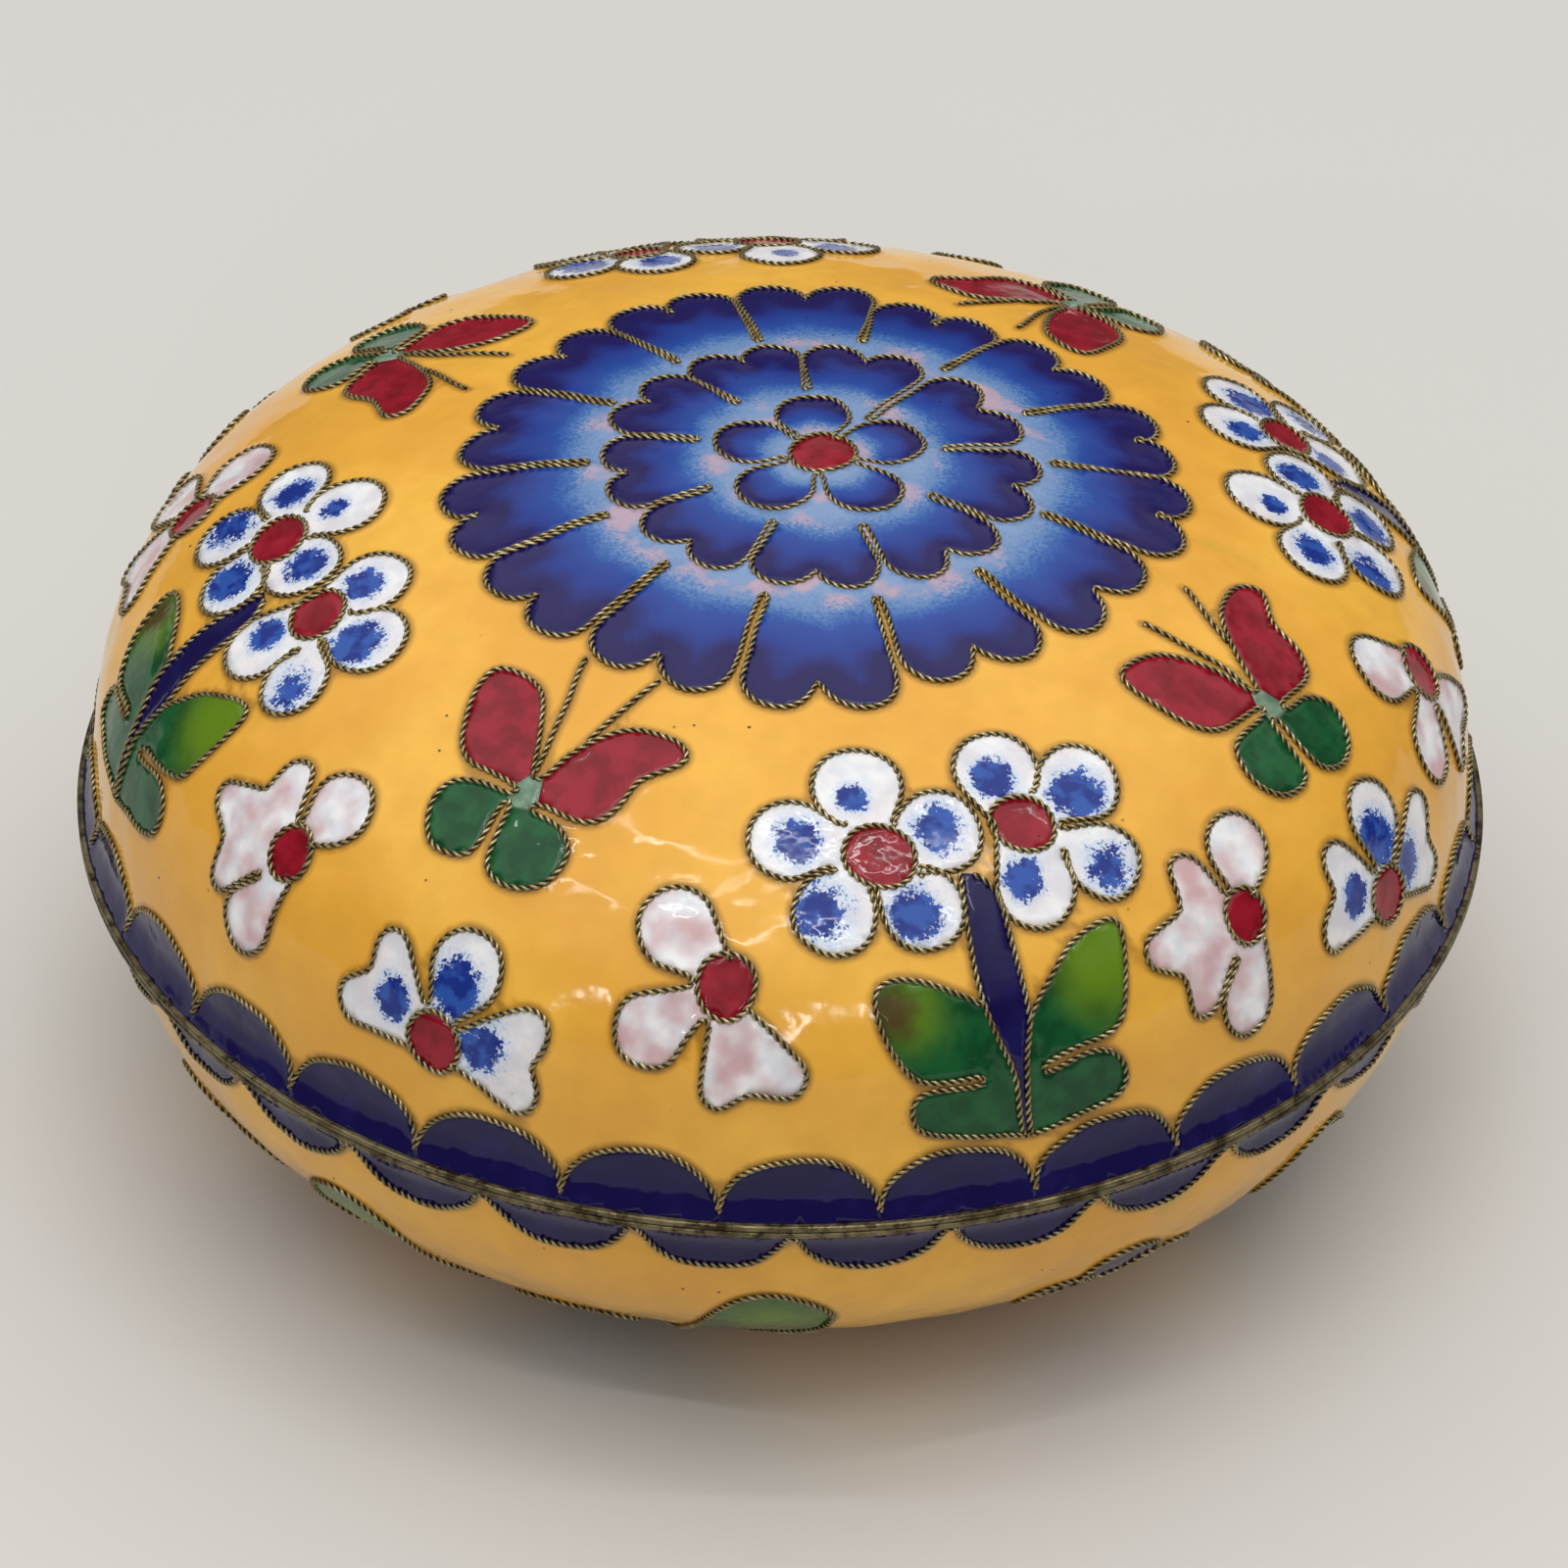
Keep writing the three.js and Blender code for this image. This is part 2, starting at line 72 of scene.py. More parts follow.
# The rope: two fine wires twisted together
STRAND_RADIUS = 0.12
ROPE_PITCH = 1.26
ROPE_SIT = 0.16
SLOT_GAP = 0.54
ROPE_STEP = ROPE_PITCH / 6

# The enamel: how it climbs the wire, and how its face swells and wanders
MENISCUS = 0.13
MENISCUS_WIDTH = 0.5
MENISCUS_FALL = 1.5
FILL_LIFT = 0.07
FILL_DEPTH = 0.3
FILL_GRID = 0.6
RIM_CLIMB = 0.4
RIM_CLIMB_WIDTH = 1.3
SWELL = 0.07
SWAY = 0.1
FADE_WIDTH = 4

# Waves over the map: how fast each runs along u and v, and where it starts
SWELL_WAVES = [(0.61, 0.35, 1.1), (-0.42, 0.66, 2.3)]
SMALL_SWELL_WAVES = [(1.13, -0.71, 0.4), (0.52, 1.27, 4.2)]
SMALL_SWELL_SHARE = 0.7
SWAY_WAVES_U = [(0.83, 0.9, 0.6), (-1.4, 0.5, 3.1)]
SWAY_WAVES_V = [(0.95, -0.75, 2.2), (0.6, 1.35, 5.0)]

# How finely lines and faces are cut
WELD = 0.001
FINE_WELD = 1e-5
SHORT_EDGE = 1e-4
ARC_STEP = 0.3
OUTLINE_STEP = 0.35
SPLINE_STEPS = 10
EYE_STEPS = 28
SCALLOP_STEPS = 33
FLAT_STEPS = 40
BATCH = 500
EYE_SHARPNESS = 2.5
PROFILE_STEPS = 400
SHELL_SEGMENTS = 400
SHELL_RING = 0.65
LINING_RING = 3.0
BAND_SEGMENTS = 256


# Forms


def dome_profile(radius, height, curve):
    """Radius and distance from the joint, from the middle to the rim, as arrays."""
    across, up = curve
    lowest = math.asin((FLARE_HEIGHT / height) ** (up / 2))
    angle = np.linspace(math.pi / 2, lowest, PROFILE_STEPS)
    out = radius * np.maximum(np.cos(angle), 0) ** (2 / across)
    away = height * np.sin(angle) ** (2 / up)
    return np.append(out, radius + FLARE), np.append(away, 0)


class Skin:
    """An enamelled face as a flat map: u and v are distances over it from its middle."""

    def __init__(self, radius, height, side):
        self.radius, self.height, self.side = radius, height, side
        steps = np.hypot(np.diff(radius), np.diff(height))
        self.length = np.concatenate([[0], np.cumsum(steps)])
        self.total = self.length[-1]
        self.out_rate = np.gradient(radius, self.length)
        self.up_rate = np.gradient(height, self.length)

    def lay(self, uv, lift, wander=False):
        """Points in metres for places on the map, lifted off the face."""
        uv = np.asarray(uv, float)
        if wander:
            uv = uv + sway(uv, self.total)
        distance = np.minimum(np.hypot(uv[:, 0], uv[:, 1]), self.total)
        around = np.arctan2(uv[:, 1], uv[:, 0])
        radius = np.interp(distance, self.length, self.radius)
        height = np.interp(distance, self.length, self.height)
        outward = -self.side * np.interp(distance, self.length, self.up_rate)
        upward = self.side * np.interp(distance, self.length, self.out_rate)
        lift = lift + swell(uv, self.total)
        radius = radius + lift * outward
        height = height + lift * upward
        return np.stack([radius * np.cos(around), radius * np.sin(around), height], 1) * MM


def fade(uv, total):
    """1 over the enamel, down to 0 at its rim."""
    return np.clip((total - np.hypot(uv[:, 0], uv[:, 1])) / FADE_WIDTH, 0, 1)


def summed(waves, uv):
    """The sum of these waves at each place."""
    return sum(np.sin(a * uv[:, 0] + b * uv[:, 1] + c) for a, b, c in waves)


def swell(uv, total):
    """The fired enamel's low swells and its climb to the brass at the rim, in millimetres."""
    height = summed(SWELL_WAVES, uv) + SMALL_SWELL_SHARE * summed(SMALL_SWELL_WAVES, uv)
    from_rim = total - np.hypot(uv[:, 0], uv[:, 1])
    at_rim = RIM_CLIMB * np.exp(-((from_rim / RIM_CLIMB_WIDTH) ** 2))
    return SWELL / 3 * height * fade(uv, total) + at_rim


def sway(uv, total):
    """The hand's small wander off the drawn line, the same for a wire and its enamel."""
    aside = np.stack([summed(SWAY_WAVES_U, uv), summed(SWAY_WAVES_V, uv)], 1)
    return SWAY / 2 * aside * fade(uv, total)[:, None]


lid_out, lid_away = dome_profile(ENAMEL_RADIUS, LID_RISE, LID_CURVE)
bowl_out, bowl_away = dome_profile(ENAMEL_RADIUS, BOWL_CURVE_DEPTH, BOWL_CURVE)
kept = bowl_away <= JOINT - FOOT_HEIGHT
bowl_out, bowl_away = bowl_out[kept], bowl_away[kept]
flat_out = np.linspace(0, bowl_out[0], FLAT_STEPS, endpoint=False)
bowl_out = np.concatenate([flat_out, bowl_out])
bowl_away = np.concatenate([np.full(FLAT_STEPS, JOINT - FOOT_HEIGHT), bowl_away])
lid_skin = Skin(lid_out, JOINT + lid_away, 1)
bowl_skin = Skin(bowl_out, JOINT - bowl_away, -1)


# Outlines, drawn in millimetres with x to the right and y towards the middle of the lid


def polar(distance, degrees):
    turn = math.radians(degrees)
    return np.array([distance * math.cos(turn), distance * math.sin(turn)])


def lobed(centre, lobes, wire_start=None):
    """A wire bent round lobes (turn, reach, radius, dip), dips being (turn, distance, is_slot)
    or the end of an open wire as (x, y), which then has its start given as well."""
    middle = np.array(centre, float)
    dips = []
    for *_, dip in lobes:
        if len(dip) == 2:
            dips.append((None, np.array(dip, float), False))
            continue
        turn, distance, is_slot = dip
        point = polar(distance, turn)
        aside = polar(SLOT_GAP / 2 if is_slot else 0, turn - 90)
        dips.append((point - aside, point + aside, is_slot))
    route = []
    for i, (turn, reach, radius, _) in enumerate(lobes):
        hub = polar(reach - radius, turn)
        start = dips[i - 1][1]
        end = dips[i][0] if dips[i][0] is not None else dips[i][1]
        if wire_start is not None and i == 0:
            start = np.array(wire_start, float)
        angles = []
        for target, sign in ((start, -1), (end, 1)):
            away = max(np.hypot(*(target - hub)), radius)
            facing = math.atan2(*(target - hub)[::-1])
            angles.append(facing + sign * math.acos(radius / away))
        first, last = angles
        while last > first:
            last -= 2 * math.pi
        route.append(start)
        steps = max(6, int(abs(first - last) * radius / ARC_STEP))
        for angle in np.linspace(first, last, steps):
            route.append(hub + radius * np.array([math.cos(angle), math.sin(angle)]))
        route.append(end)
    return np.array(route) + middle


def eye(centre, radius, point, turn):
    """The ring of wire round a red eye, drawn out by the share point towards turn."""
    route = []
    for away in np.linspace(0, 360, EYE_STEPS, endpoint=False):
        out = radius * (1 + point * ((1 + math.cos(math.radians(away))) / 2) ** EYE_SHARPNESS)
        route.append(polar(out, turn + away) + centre)
    return np.array(route)


def splined(points, closed=False):
    """A smooth line through the points."""
    points = np.array(points, float)
    count = len(points)
    spans = count if closed else count - 1
    route = []
    for i in range(spans):
        if closed:
            p = [points[(i + k) % count] for k in (-1, 0, 1, 2)]
        else:
            p = [points[min(max(i + k, 0), count - 1)] for k in (-1, 0, 1, 2)]
        for t in np.arange(0, 1, 1 / SPLINE_STEPS):
            straight = 2 * p[1] + (p[2] - p[0]) * t
            bent = (2 * p[0] - 5 * p[1] + 4 * p[2] - p[3]) * t**2
            curled = (3 * p[1] - p[0] - 3 * p[2] + p[3]) * t**3
            route.append(0.5 * (straight + bent + curled))
    if not closed:
        route.append(points[-1])
    return np.array(route)


def evenly(route, step, closed):
    """The same line with its points an even distance apart."""
    line = np.vstack([route, route[:1]]) if closed else route
    lengths = np.concatenate([[0], np.cumsum(np.hypot(*np.diff(line, axis=0).T))])
    count = max(4, int(round(lengths[-1] / step)))
    places = np.linspace(0, lengths[-1], count, endpoint=not closed)
    return np.stack([np.interp(places, lengths, line[:, k]) for k in (0, 1)], 1)


def eased(line, closed, rounds=3):
    """The line with its corners rounded as a bent wire's are."""
    for _ in range(rounds):
        if closed:
            line = (np.roll(line, 1, 0) + 2 * line + np.roll(line, -1, 0)) / 4
        else:
            line = np.vstack([line[:1], (line[:-2] + 2 * line[1:-1] + line[2:]) / 4, line[-1:]])
    return line


def placed(route, degrees, distance):
    """Sets a motif's line on the lid's map, its top towards the middle."""
    ox, oy = polar(1, degrees)
    x, y = np.asarray(route).T
    return np.stack([(distance - y) * ox - x * oy, (distance - y) * oy + x * ox], 1)


def wrapped(route, degrees, distance):
    """Bends a motif's line round the bowl's map, its top away from the middle."""
    x, y = np.asarray(route).T
    turn = math.radians(degrees) + x / WRAP_RADIUS
    return np.stack([(distance + y) * np.cos(turn), (distance + y) * np.sin(turn)], 1)


# The rose. Each petal is given by the angle of the slot on its left and its reach, and where that
# slot runs deeper than the others, by its inner end
ROSE_CENTRE = np.array([2.3, -2.4])
OUTER_PETALS = [
    (106, 25.4), (79.5, 23.7), (55, 24.3, 15.2), (26.7, 25.5), (3.9, 26), (-18.3, 24.7), (-48.2, 24.4),
    (-76, 26), (-103.2, 25.9), (-129.6, 26.2), (-154.6, 26.5), (-178, 25.3), (-205, 25.3),
    (-230.4, 25.6),
]
INNER_PETALS = [
    (96.5, 14.9), (56, 15.1, 5.8), (9.5, 15.3), (-28.9, 15.2), (-70.6, 14.9), (-110.9, 15),
    (-151.4, 15.2), (-191.3, 15.6), (-227.6, 15.3),
]
HEART_PETALS = [(130, 7.6), (62, 7.6), (-15, 7.6), (-91, 7.6), (-164, 7.6)]
# Where a notched petal's two lobes point, as shares of its width
LOBE_SHARES = (0.26, 0.74)


def ring_route(petals, slot, notch, lobe):
    """One ring's wire: slots reach in to one distance, and a notch splits each petal's tip into
    two round lobes."""
    lobes = []
    for (left, reach, *_), (right, _, *deeper) in zip(petals, petals[1:] + petals[:1]):
        right -= 0 if right < left else 360
        dip = (right, deeper[0] if deeper else slot, True)
        if notch:
            split = ((left + right) / 2, reach - notch, False)
            for share, end in zip(LOBE_SHARES, (split, dip)):
                lobes.append((left + share * (right - left), reach, lobe, end))
        else:
            lobes.append(((left + right) / 2, reach, lobe, dip))
    return lobed(ROSE_CENTRE, lobes)


# Where the motifs sit: degrees round the lid and distance from its middle
SPRAYS = {"front": (-74, 45), "right": (9, 44.2), "back": (100, 41.5), "left": (-163.4, 41.3)}
BUTTERFLIES = [(-116, 39, 12), (-32.5, 40.6, 10.6), (51.4, 34.8, 9.8), (150, 35, 10.6)]
BLOSSOMS = [
    ("pink_left", -135.1, 48.3), ("blue_white", -117.4, 55.3), ("pink_right", -94.1, 49),
    ("pink_left", -48.9, 50.1), ("blue_white", -32.7, 55.1), ("pink_right", -12.1, 48.8),
    ("pink_left", 37, 48.5), ("blue_white", 54, 55.3), ("pink_right", 76, 48.8),
    ("pink_left", 134, 48.3), ("blue_white", 152, 55.2), ("pink_right", 176.3, 44.5),
]

# Flowers: (turn, reach, radius, dip) for each lobe, with dips as (turn, distance, is a slot)
LEFT_FLOWER = ((-5, 5.6), [
    (157, 8.2, 2.75, (117, 2.6, True)),
    (87, 7.8, 3, (38, 2.7, True)),
    (8, 7.8, 2.9, (-36, 3.6, True)),
    (-59, 7.8, 2.8, (-101, 2.3, True)),
    (-134, 7.6, 2.8, (-168, 2.6, True)),
])
RIGHT_FLOWER = ((5.9, 5.9), [
    (104, 7.3, 2.9, (70, 2.6, True)),
    (33, 8, 2.8, (-6, 2.2, True)),
    (-31, 8.2, 2.6, (-42, 2.7, True)),
    (-95, 7.1, 2.8, (170, 2.1, False)),
])
LEFT_EYE = ((-5, 5.6), 1.9, 0.6, -28)
RIGHT_EYE = ((5.9, 5.9), 1.9, 0.35, 150)

STEM_LEFT = [(0.6, 3.15), (0.2, -0.5), (0.5, -5.5), (2.2, -9.8), (3.3, -14.9)]
STEM_RIGHT = [(1.4, 3), (2.8, 1.2), (3.3, -3.3), (3.8, -6.5), (3.3, -9.8), (3.9, -14.8)]
LEAF_LEFT = [
    (0.45, -5.4), (-3.5, -3.3), (-6.9, -3.4), (-6.3, -7.6), (-4.5, -9.9), (-0.3, -10.1),
    (-0.3, -10.7), (-4.6, -10.7), (-5.5, -12.2), (-4, -13.8), (3.6, -15.1),
]
LEAF_RIGHT = [
    (3.85, -6.6), (7.2, -2.4), (10.8, -0.9), (11.2, -5.6), (10.2, -8), (5, -9.8), (5.2, -10.4),
    (9.2, -9.3), (11.4, -10.6), (10.8, -12.9), (3.9, -15.1),
]
BUTTERFLY = [
    (-0.45, 2.3), (-1.4, 5.6), (-3, 8.4), (-5.5, 9.4), (-7.1, 8.6), (-6.8, 4.4), (-5, 1.9),
    (-1.2, 1.2), (-1.2, 0.6), (-5.2, 0.4), (-6.3, -1.8), (-4.9, -4.3), (-2.2, -4.1),
    (-1.35, -0.3), (-0.75, -0.3), (-0.7, -4.2), (1.1, -5.6), (3.6, -4.7), (4.5, -2.3),
    (3.2, -0.7), (0.9, -0.35), (0.9, 0.3), (4.6, 0.3), (6.2, 2), (6.7, 4.4), (8.7, 6.8),
    (7.2, 8.1), (4.2, 7.6), (1.6, 4.8), (0.35, 2.2),
]
# The butterfly's cells, as stretches of its outline
RED_WINGS = [(0, 8), (21, 30)]
GREEN_WINGS = [(8, 14), (14, 21)]
BODY = [0, 7, 8, 13, 14, 20, 21, 29]

# Side-on blossoms: centre, the wire's start, its lobes, and the eye's size
BLOSSOM_KINDS = {
    "pink_left": ((0, -0.6), (1.1, -1.5), [
        (253, 7.9, 2.4, (228, 2.6, True)),
        (212, 7.6, 1.3, (190, 6.6, False)),
        (171, 9, 1.1, (150, 5.6, False)),
        (122, 6.9, 1.3, (104, 2.3, True)),
        (69, 7.4, 2.5, (1.1, 1.4)),
    ], (1.6, 0.45, 78)),
    "blue_white": ((0, -0.5), (-1.6, -1), [
        (171, 8.4, 1.6, (150, 6.6, False)),
        (131, 7.9, 1.5, (105, 2.3, True)),
        (72, 8.2, 2.7, (38, 2.3, True)),
        (22, 9.6, 1.6, (6, 8.2, False)),
        (-10, 9.4, 1.6, (2, -1.2)),
    ], (1.9, 0.4, -20)),
    "pink_right": ((0, 0.3), (1.6, -1), [
        (-48, 8.6, 1.5, (-72, 6.9, False)),
        (-92, 8, 1.3, (-122, 2.3, True)),
        (-152, 8.4, 2.5, (-190, 2.3, True)),
        (-227, 7.9, 2.6, (0.2, 1.9)),
    ], (1.9, 0.25, 75)),
}

# Scallops along the rims: the wire's lowest and highest lines, and the first cusp's angle
SCALLOP_COUNT = 30
LID_SCALLOPS = (0.9, 5.2, 2.0, 1.0)
BASE_SCALLOPS = (0.9, 4.6, 7.5, 0.93)


# Nodes and colours


def linear(code):
    """An sRGB hex colour as linear RGBA."""
    channels = [int(code[i:i + 2], 16) / 255 for i in (1, 3, 5)]
    return tuple(c / 12.92 if c <= 0.04045 else ((c + 0.055) / 1.055) ** 2.4 for c in channels) + (1,)


def add_node(tree, kind, values=None, output=None, **settings):
    """Adds a node, sets its properties, and sets or links its inputs, with colours in hex. Gives
    the output that is asked for, or the node."""
    node = tree.nodes.new("ShaderNode" + kind)
    ramp = settings.pop("ramp", None)
    for key, value in settings.items():
        setattr(node, key, value)
    if ramp:
        stops = node.color_ramp.elements
        while len(stops) < len(ramp):
            stops.new(0.5)
        for stop, (place, colour) in zip(stops, ramp):
            stop.position = place
            stop.color = linear(colour)
    for key, value in (values or {}).items():
        if isinstance(value, bpy.types.NodeSocket):
            tree.links.new(value, node.inputs[key])
        else:
            node.inputs[key].default_value = linear(value) if isinstance(value, str) else value
    return node if output is None else node.outputs[output]


# Settings of the nodes that blend two colours, and that turn one range softly into another
COLOUR = {"data_type": "RGBA"}
SOFT = {"interpolation_type": "SMOOTHSTEP"}
TIMES = {"operation": "MULTIPLY"}


def new_material(name):
    """An empty material, and the function that adds a node to it."""
    material = bpy.data.materials.new(name)
    material.use_nodes = True
    material.node_tree.nodes.clear()
    return material, partial(add_node, material.node_tree)


def finished(material, add, values):
    """The material with its one shader, given these inputs."""
    add("OutputMaterial", {"Surface": add("BsdfPrincipled", values, "BSDF")})
    return material


def patches(add, place, size, low, high, detail=2, roughness=0.5, bottom=0.0, top=1.0):
    """Soft patches about this many millimetres across, between two strengths."""
    lumps = add("TexNoise", {
        "Vector": place, "Scale": 1 / (size * MM), "Detail": detail, "Roughness": roughness,
    }, "Fac")
    return add("MapRange", {0: lumps, 1: low, 2: high, 3: bottom, 4: top}, 0, **SOFT)


def ragged(add, place, size, detail, roughness, reach):
    """Lumps of this size about zero, which sway the edge of a colour either way."""
    lumps = add("TexNoise", {
        "Vector": place, "Scale": 1 / (size * MM), "Detail": detail, "Roughness": roughness,
    }, "Fac")
    swing = add("Math", {0: lumps, 1: 0.5}, 0, operation="SUBTRACT")
    return add("Math", {0: swing, 1: reach}, 0, **TIMES)


def pitted(add, place, colour, spacing, size, dark):
    """The colour with the dark specks that burst bubbles and grit leave."""
    share = size / spacing
    cells = add("TexVoronoi", {"Vector": place, "Scale": 1 / (spacing * MM)}, "Distance")
    small = add("MapRange", {0: cells, 1: share, 2: share * 0.4}, 0, **SOFT)
    chosen = patches(add, place, spacing * 2.2, 0.55, 0.62, 1)
    specks = add("Math", {0: small, 1: chosen}, 0, **TIMES)
    return add("Mix", {0: specks, 6: colour, 7: dark}, 2, **COLOUR)


def glaze(add, place, ripple, depth):
    """The glassy face: low ripples under a fine orange peel."""
    low = add("TexNoise", {"Vector": place, "Scale": 1 / (ripple * MM)}, "Fac")
    fine = add("TexNoise", {"Vector": place, "Scale": 1 / (0.7 * MM), "Detail": 3}, "Fac")
    peel = add("Math", {0: fine, 1: 0.04}, 0, **TIMES)
    height = add("Math", {0: low, 1: peel}, 0)
    return add("Bump", {"Height": height, "Strength": 1.0, "Distance": depth * MM}, "Normal")


def enamel(name, paint, ripple, depth, roughness=(0.05, 0.14)):
    """Vitreous enamel: glass fused on copper, glossy, slightly rippled, with a few dark pits."""
    material, add = new_material(name)
    place = add("TexCoord", None, "Object")
    return finished(material, add, {
        "Base Color": paint(add, place),
        "Roughness": patches(add, place, 6, 0.35, 0.65, 3, 0.5, *roughness),
        "IOR": 1.5,
        "Specular IOR Level": 0.3,
        "Normal": glaze(add, place, ripple, depth),
    })


def yellow_paint(add, place):
    """Amber yellow, clouded with ochre, with olive smears, specks and painted shade along the wires.
    """
    clouds = patches(add, place, 16, 0.35, 0.66, 3, 0.55)
    colour = add("Mix", {0: clouds, 6: "#E9AA40", 7: "#F6BC4A"}, 2, **COLOUR)
    mottle = patches(add, place, 2.2, 0.3, 0.7, 4, 0.6, top=0.25)
    colour = add("Mix", {0: mottle, 6: colour, 7: "#D39A3A"}, 2, **COLOUR)
    smear = patches(add, place, 9, 0.66, 0.76, top=0.4)
    colour = add("Mix", {0: smear, 6: colour, 7: "#A79A36"}, 2, **COLOUR)
    # Painted shade: the enamel turns brown close to the wires, in the crease where it meets them.
    from_wire = add("Attribute", None, "Fac", attribute_name="wire_distance")
    brown = add("MapRange", {0: from_wire, 1: 0.75, 2: 0.2, 3: 0, 4: 0.65}, 0, **SOFT)
    colour = add("Mix", {0: brown, 6: colour, 7: "#7A5420"}, 2, **COLOUR)
    return pitted(add, place, colour, 2.1, 0.17, "#4A3012")


def rose_paint(add, place):
    """Petals from navy at the tips through royal to a speckled light blue, pinkish at the base."""
    zone = add("Attribute", None, "Fac", attribute_name="zone")
    speckled = add("MapRange", {0: zone, 1: 0.45, 2: 0.75, 3: 0.15, 4: 1}, 0, **SOFT)
    grain = add("Math", {0: ragged(add, place, 0.3, 3, 0.7, 0.5), 1: speckled}, 0, **TIMES)
    zone = add("Math", {0: zone, 1: ragged(add, place, 2.6, 2, 0.5, 0.16)}, 0)
    zone = add("Math", {0: zone, 1: grain}, 0)
    colour = add("ValToRGB", {0: zone}, "Color", ramp=[
        (0.0, "#1A1250"), (0.2, "#1D1659"), (0.34, "#213688"), (0.56, "#264A9C"),
        (0.67, "#3D67AA"), (0.78, "#6385B6"), (1.0, "#7E98C0"),
    ])
    base = add("MapRange", {0: zone, 1: 0.74, 2: 0.95}, 0, **SOFT)
    pink = patches(add, place, 3.2, 0.48, 0.64, top=0.8)
    pink = add("Math", {0: pink, 1: base}, 0, **TIMES)
    colour = add("Mix", {0: pink, 6: colour, 7: "#C2A2AC"}, 2, **COLOUR)
    return pitted(add, place, colour, 1.8, 0.14, "#141030")


def white_paint(add, place):
    """White petals, each with a ragged royal blue blot haloed in pale blue, or flushed pink."""
    milk = patches(add, place, 1.6, 0.35, 0.65)
    colour = add("Mix", {0: milk, 6: "#DFE3EA", 7: "#F1F1F2"}, 2, **COLOUR)
    tint = add("Attribute", None, "Fac", attribute_name="tint")
    flush = patches(add, place, 2.4, 0.3, 0.7, 2, 0.4)
    pink = add("Math", {0: flush, 1: tint}, 0, **TIMES)
    colour = add("Mix", {0: pink, 6: colour, 7: "#C99A9C"}, 2, **COLOUR)
    edge = add("Attribute", None, "Fac", attribute_name="zone")
    edge = add("Math", {0: edge, 1: ragged(add, place, 0.8, 4, 0.7, 0.75)}, 0)
    edge = add("Math", {0: edge, 1: ragged(add, place, 0.22, 2, 0.6, 0.5)}, 0)
    halo = add("MapRange", {0: edge, 1: 0.22, 2: 0.46, 3: 0, 4: 0.55}, 0, **SOFT)
    colour = add("Mix", {0: halo, 6: colour, 7: "#A9C4E6"}, 2, **COLOUR)
    depth = patches(add, place, 1.2, 0.4, 0.6)
    blue = add("Mix", {0: depth, 6: "#1B3184", 7: "#2F55A8"}, 2, **COLOUR)
    blot = add("MapRange", {0: edge, 1: 0.43, 2: 0.53}, 0, **SOFT)
    colour = add("Mix", {0: blot, 6: colour, 7: blue}, 2, **COLOUR)
    return pitted(add, place, colour, 1.6, 0.1, "#6B5A50")


def green_paint(add, place):
    """Leaf green, flushed yellow-green where the enamel thins, with a brown firing spot."""
    depth = patches(add, place, 2.0, 0.35, 0.65, 3)
    colour = add("Mix", {0: depth, 6: "#0E4424", 7: "#185A30"}, 2, **COLOUR)
    thin = add("Attribute", None, "Fac", attribute_name="zone")
    thin = add("Math", {0: thin, 1: ragged(add, place, 1.5, 3, 0.5, 0.3)}, 0)
    flush = add("MapRange", {0: thin, 1: 0.1, 2: 0.9}, 0, **SOFT)
    colour = add("Mix", {0: flush, 6: colour, 7: "#62841C"}, 2, **COLOUR)
    fired = add("Attribute", None, "Fac", attribute_name="tint")
    fired = add("Math", {0: fired, 1: ragged(add, place, 0.9, 3, 0.5, 0.5)}, 0)
    brown = add("MapRange", {0: fired, 1: 0.15, 2: 0.85, 3: 0, 4: 0.85}, 0, **SOFT)
    colour = add("Mix", {0: brown, 6: colour, 7: "#4E3222"}, 2, **COLOUR)
    return pitted(add, place, colour, 1.8, 0.13, "#0C2212")


def red_paint(add, place):
    """Deep ruby red, lighter where the enamel lies thin."""
    depth = patches(add, place, 1.8, 0.35, 0.65, 3)
    colour = add("Mix", {0: depth, 6: "#7C0E1C", 7: "#98182A"}, 2, **COLOUR)
    return pitted(add, place, colour, 1.6, 0.13, "#3A0812")


def navy_paint(add, place):
    """Navy with a milky blue glaze where the enamel lies thick."""
    milk = patches(add, place, 2.4, 0.45, 0.8, 3, top=0.4)
    colour = add("Mix", {0: milk, 6: "#150E46", 7: "#24226A"}, 2, **COLOUR)
    return pitted(add, place, colour, 1.7, 0.15, "#0E0A2A")


def body_paint(add, place):
    """The grey green of the butterflies' bodies."""
    depth = patches(add, place, 1.2, 0.35, 0.65, 3)
    return add("Mix", {0: depth, 6: "#5E7C66", 7: "#86A08C"}, 2, **COLOUR)


def lining_paint(add, place):
    """Counter-enamel: a thin turquoise coat, speckled with darker grains."""
    grains = patches(add, place, 0.6, 0.4, 0.62, 4, 0.7)
    colour = add("Mix", {0: grains, 6: "#2F9AA6", 7: "#4FB6BE"}, 2, **COLOUR)
    clouds = patches(add, place, 9, 0.4, 0.65, top=0.5)
    colour = add("Mix", {0: clouds, 6: colour, 7: "#2A8796"}, 2, **COLOUR)
    return pitted(add, place, colour, 1.5, 0.16, "#12343A")


yellow_enamel = enamel("yellow_vitreous_enamel", yellow_paint, 4.0, 0.16)
rose_enamel = enamel("blue_vitreous_enamel", rose_paint, 2.4, 0.08, (0.1, 0.22))
white_enamel = enamel("white_vitreous_enamel", white_paint, 2.0, 0.08)
green_enamel = enamel("green_vitreous_enamel", green_paint, 2.0, 0.08)
red_enamel = enamel("red_vitreous_enamel", red_paint, 2.0, 0.08)
navy_enamel = enamel("navy_vitreous_enamel", navy_paint, 2.2, 0.08)
body_enamel = enamel("grey_green_vitreous_enamel", body_paint, 1.6, 0.06)
lining_enamel = enamel("turquoise_counter_enamel", lining_paint, 2.4, 0.12, (0.2, 0.35))


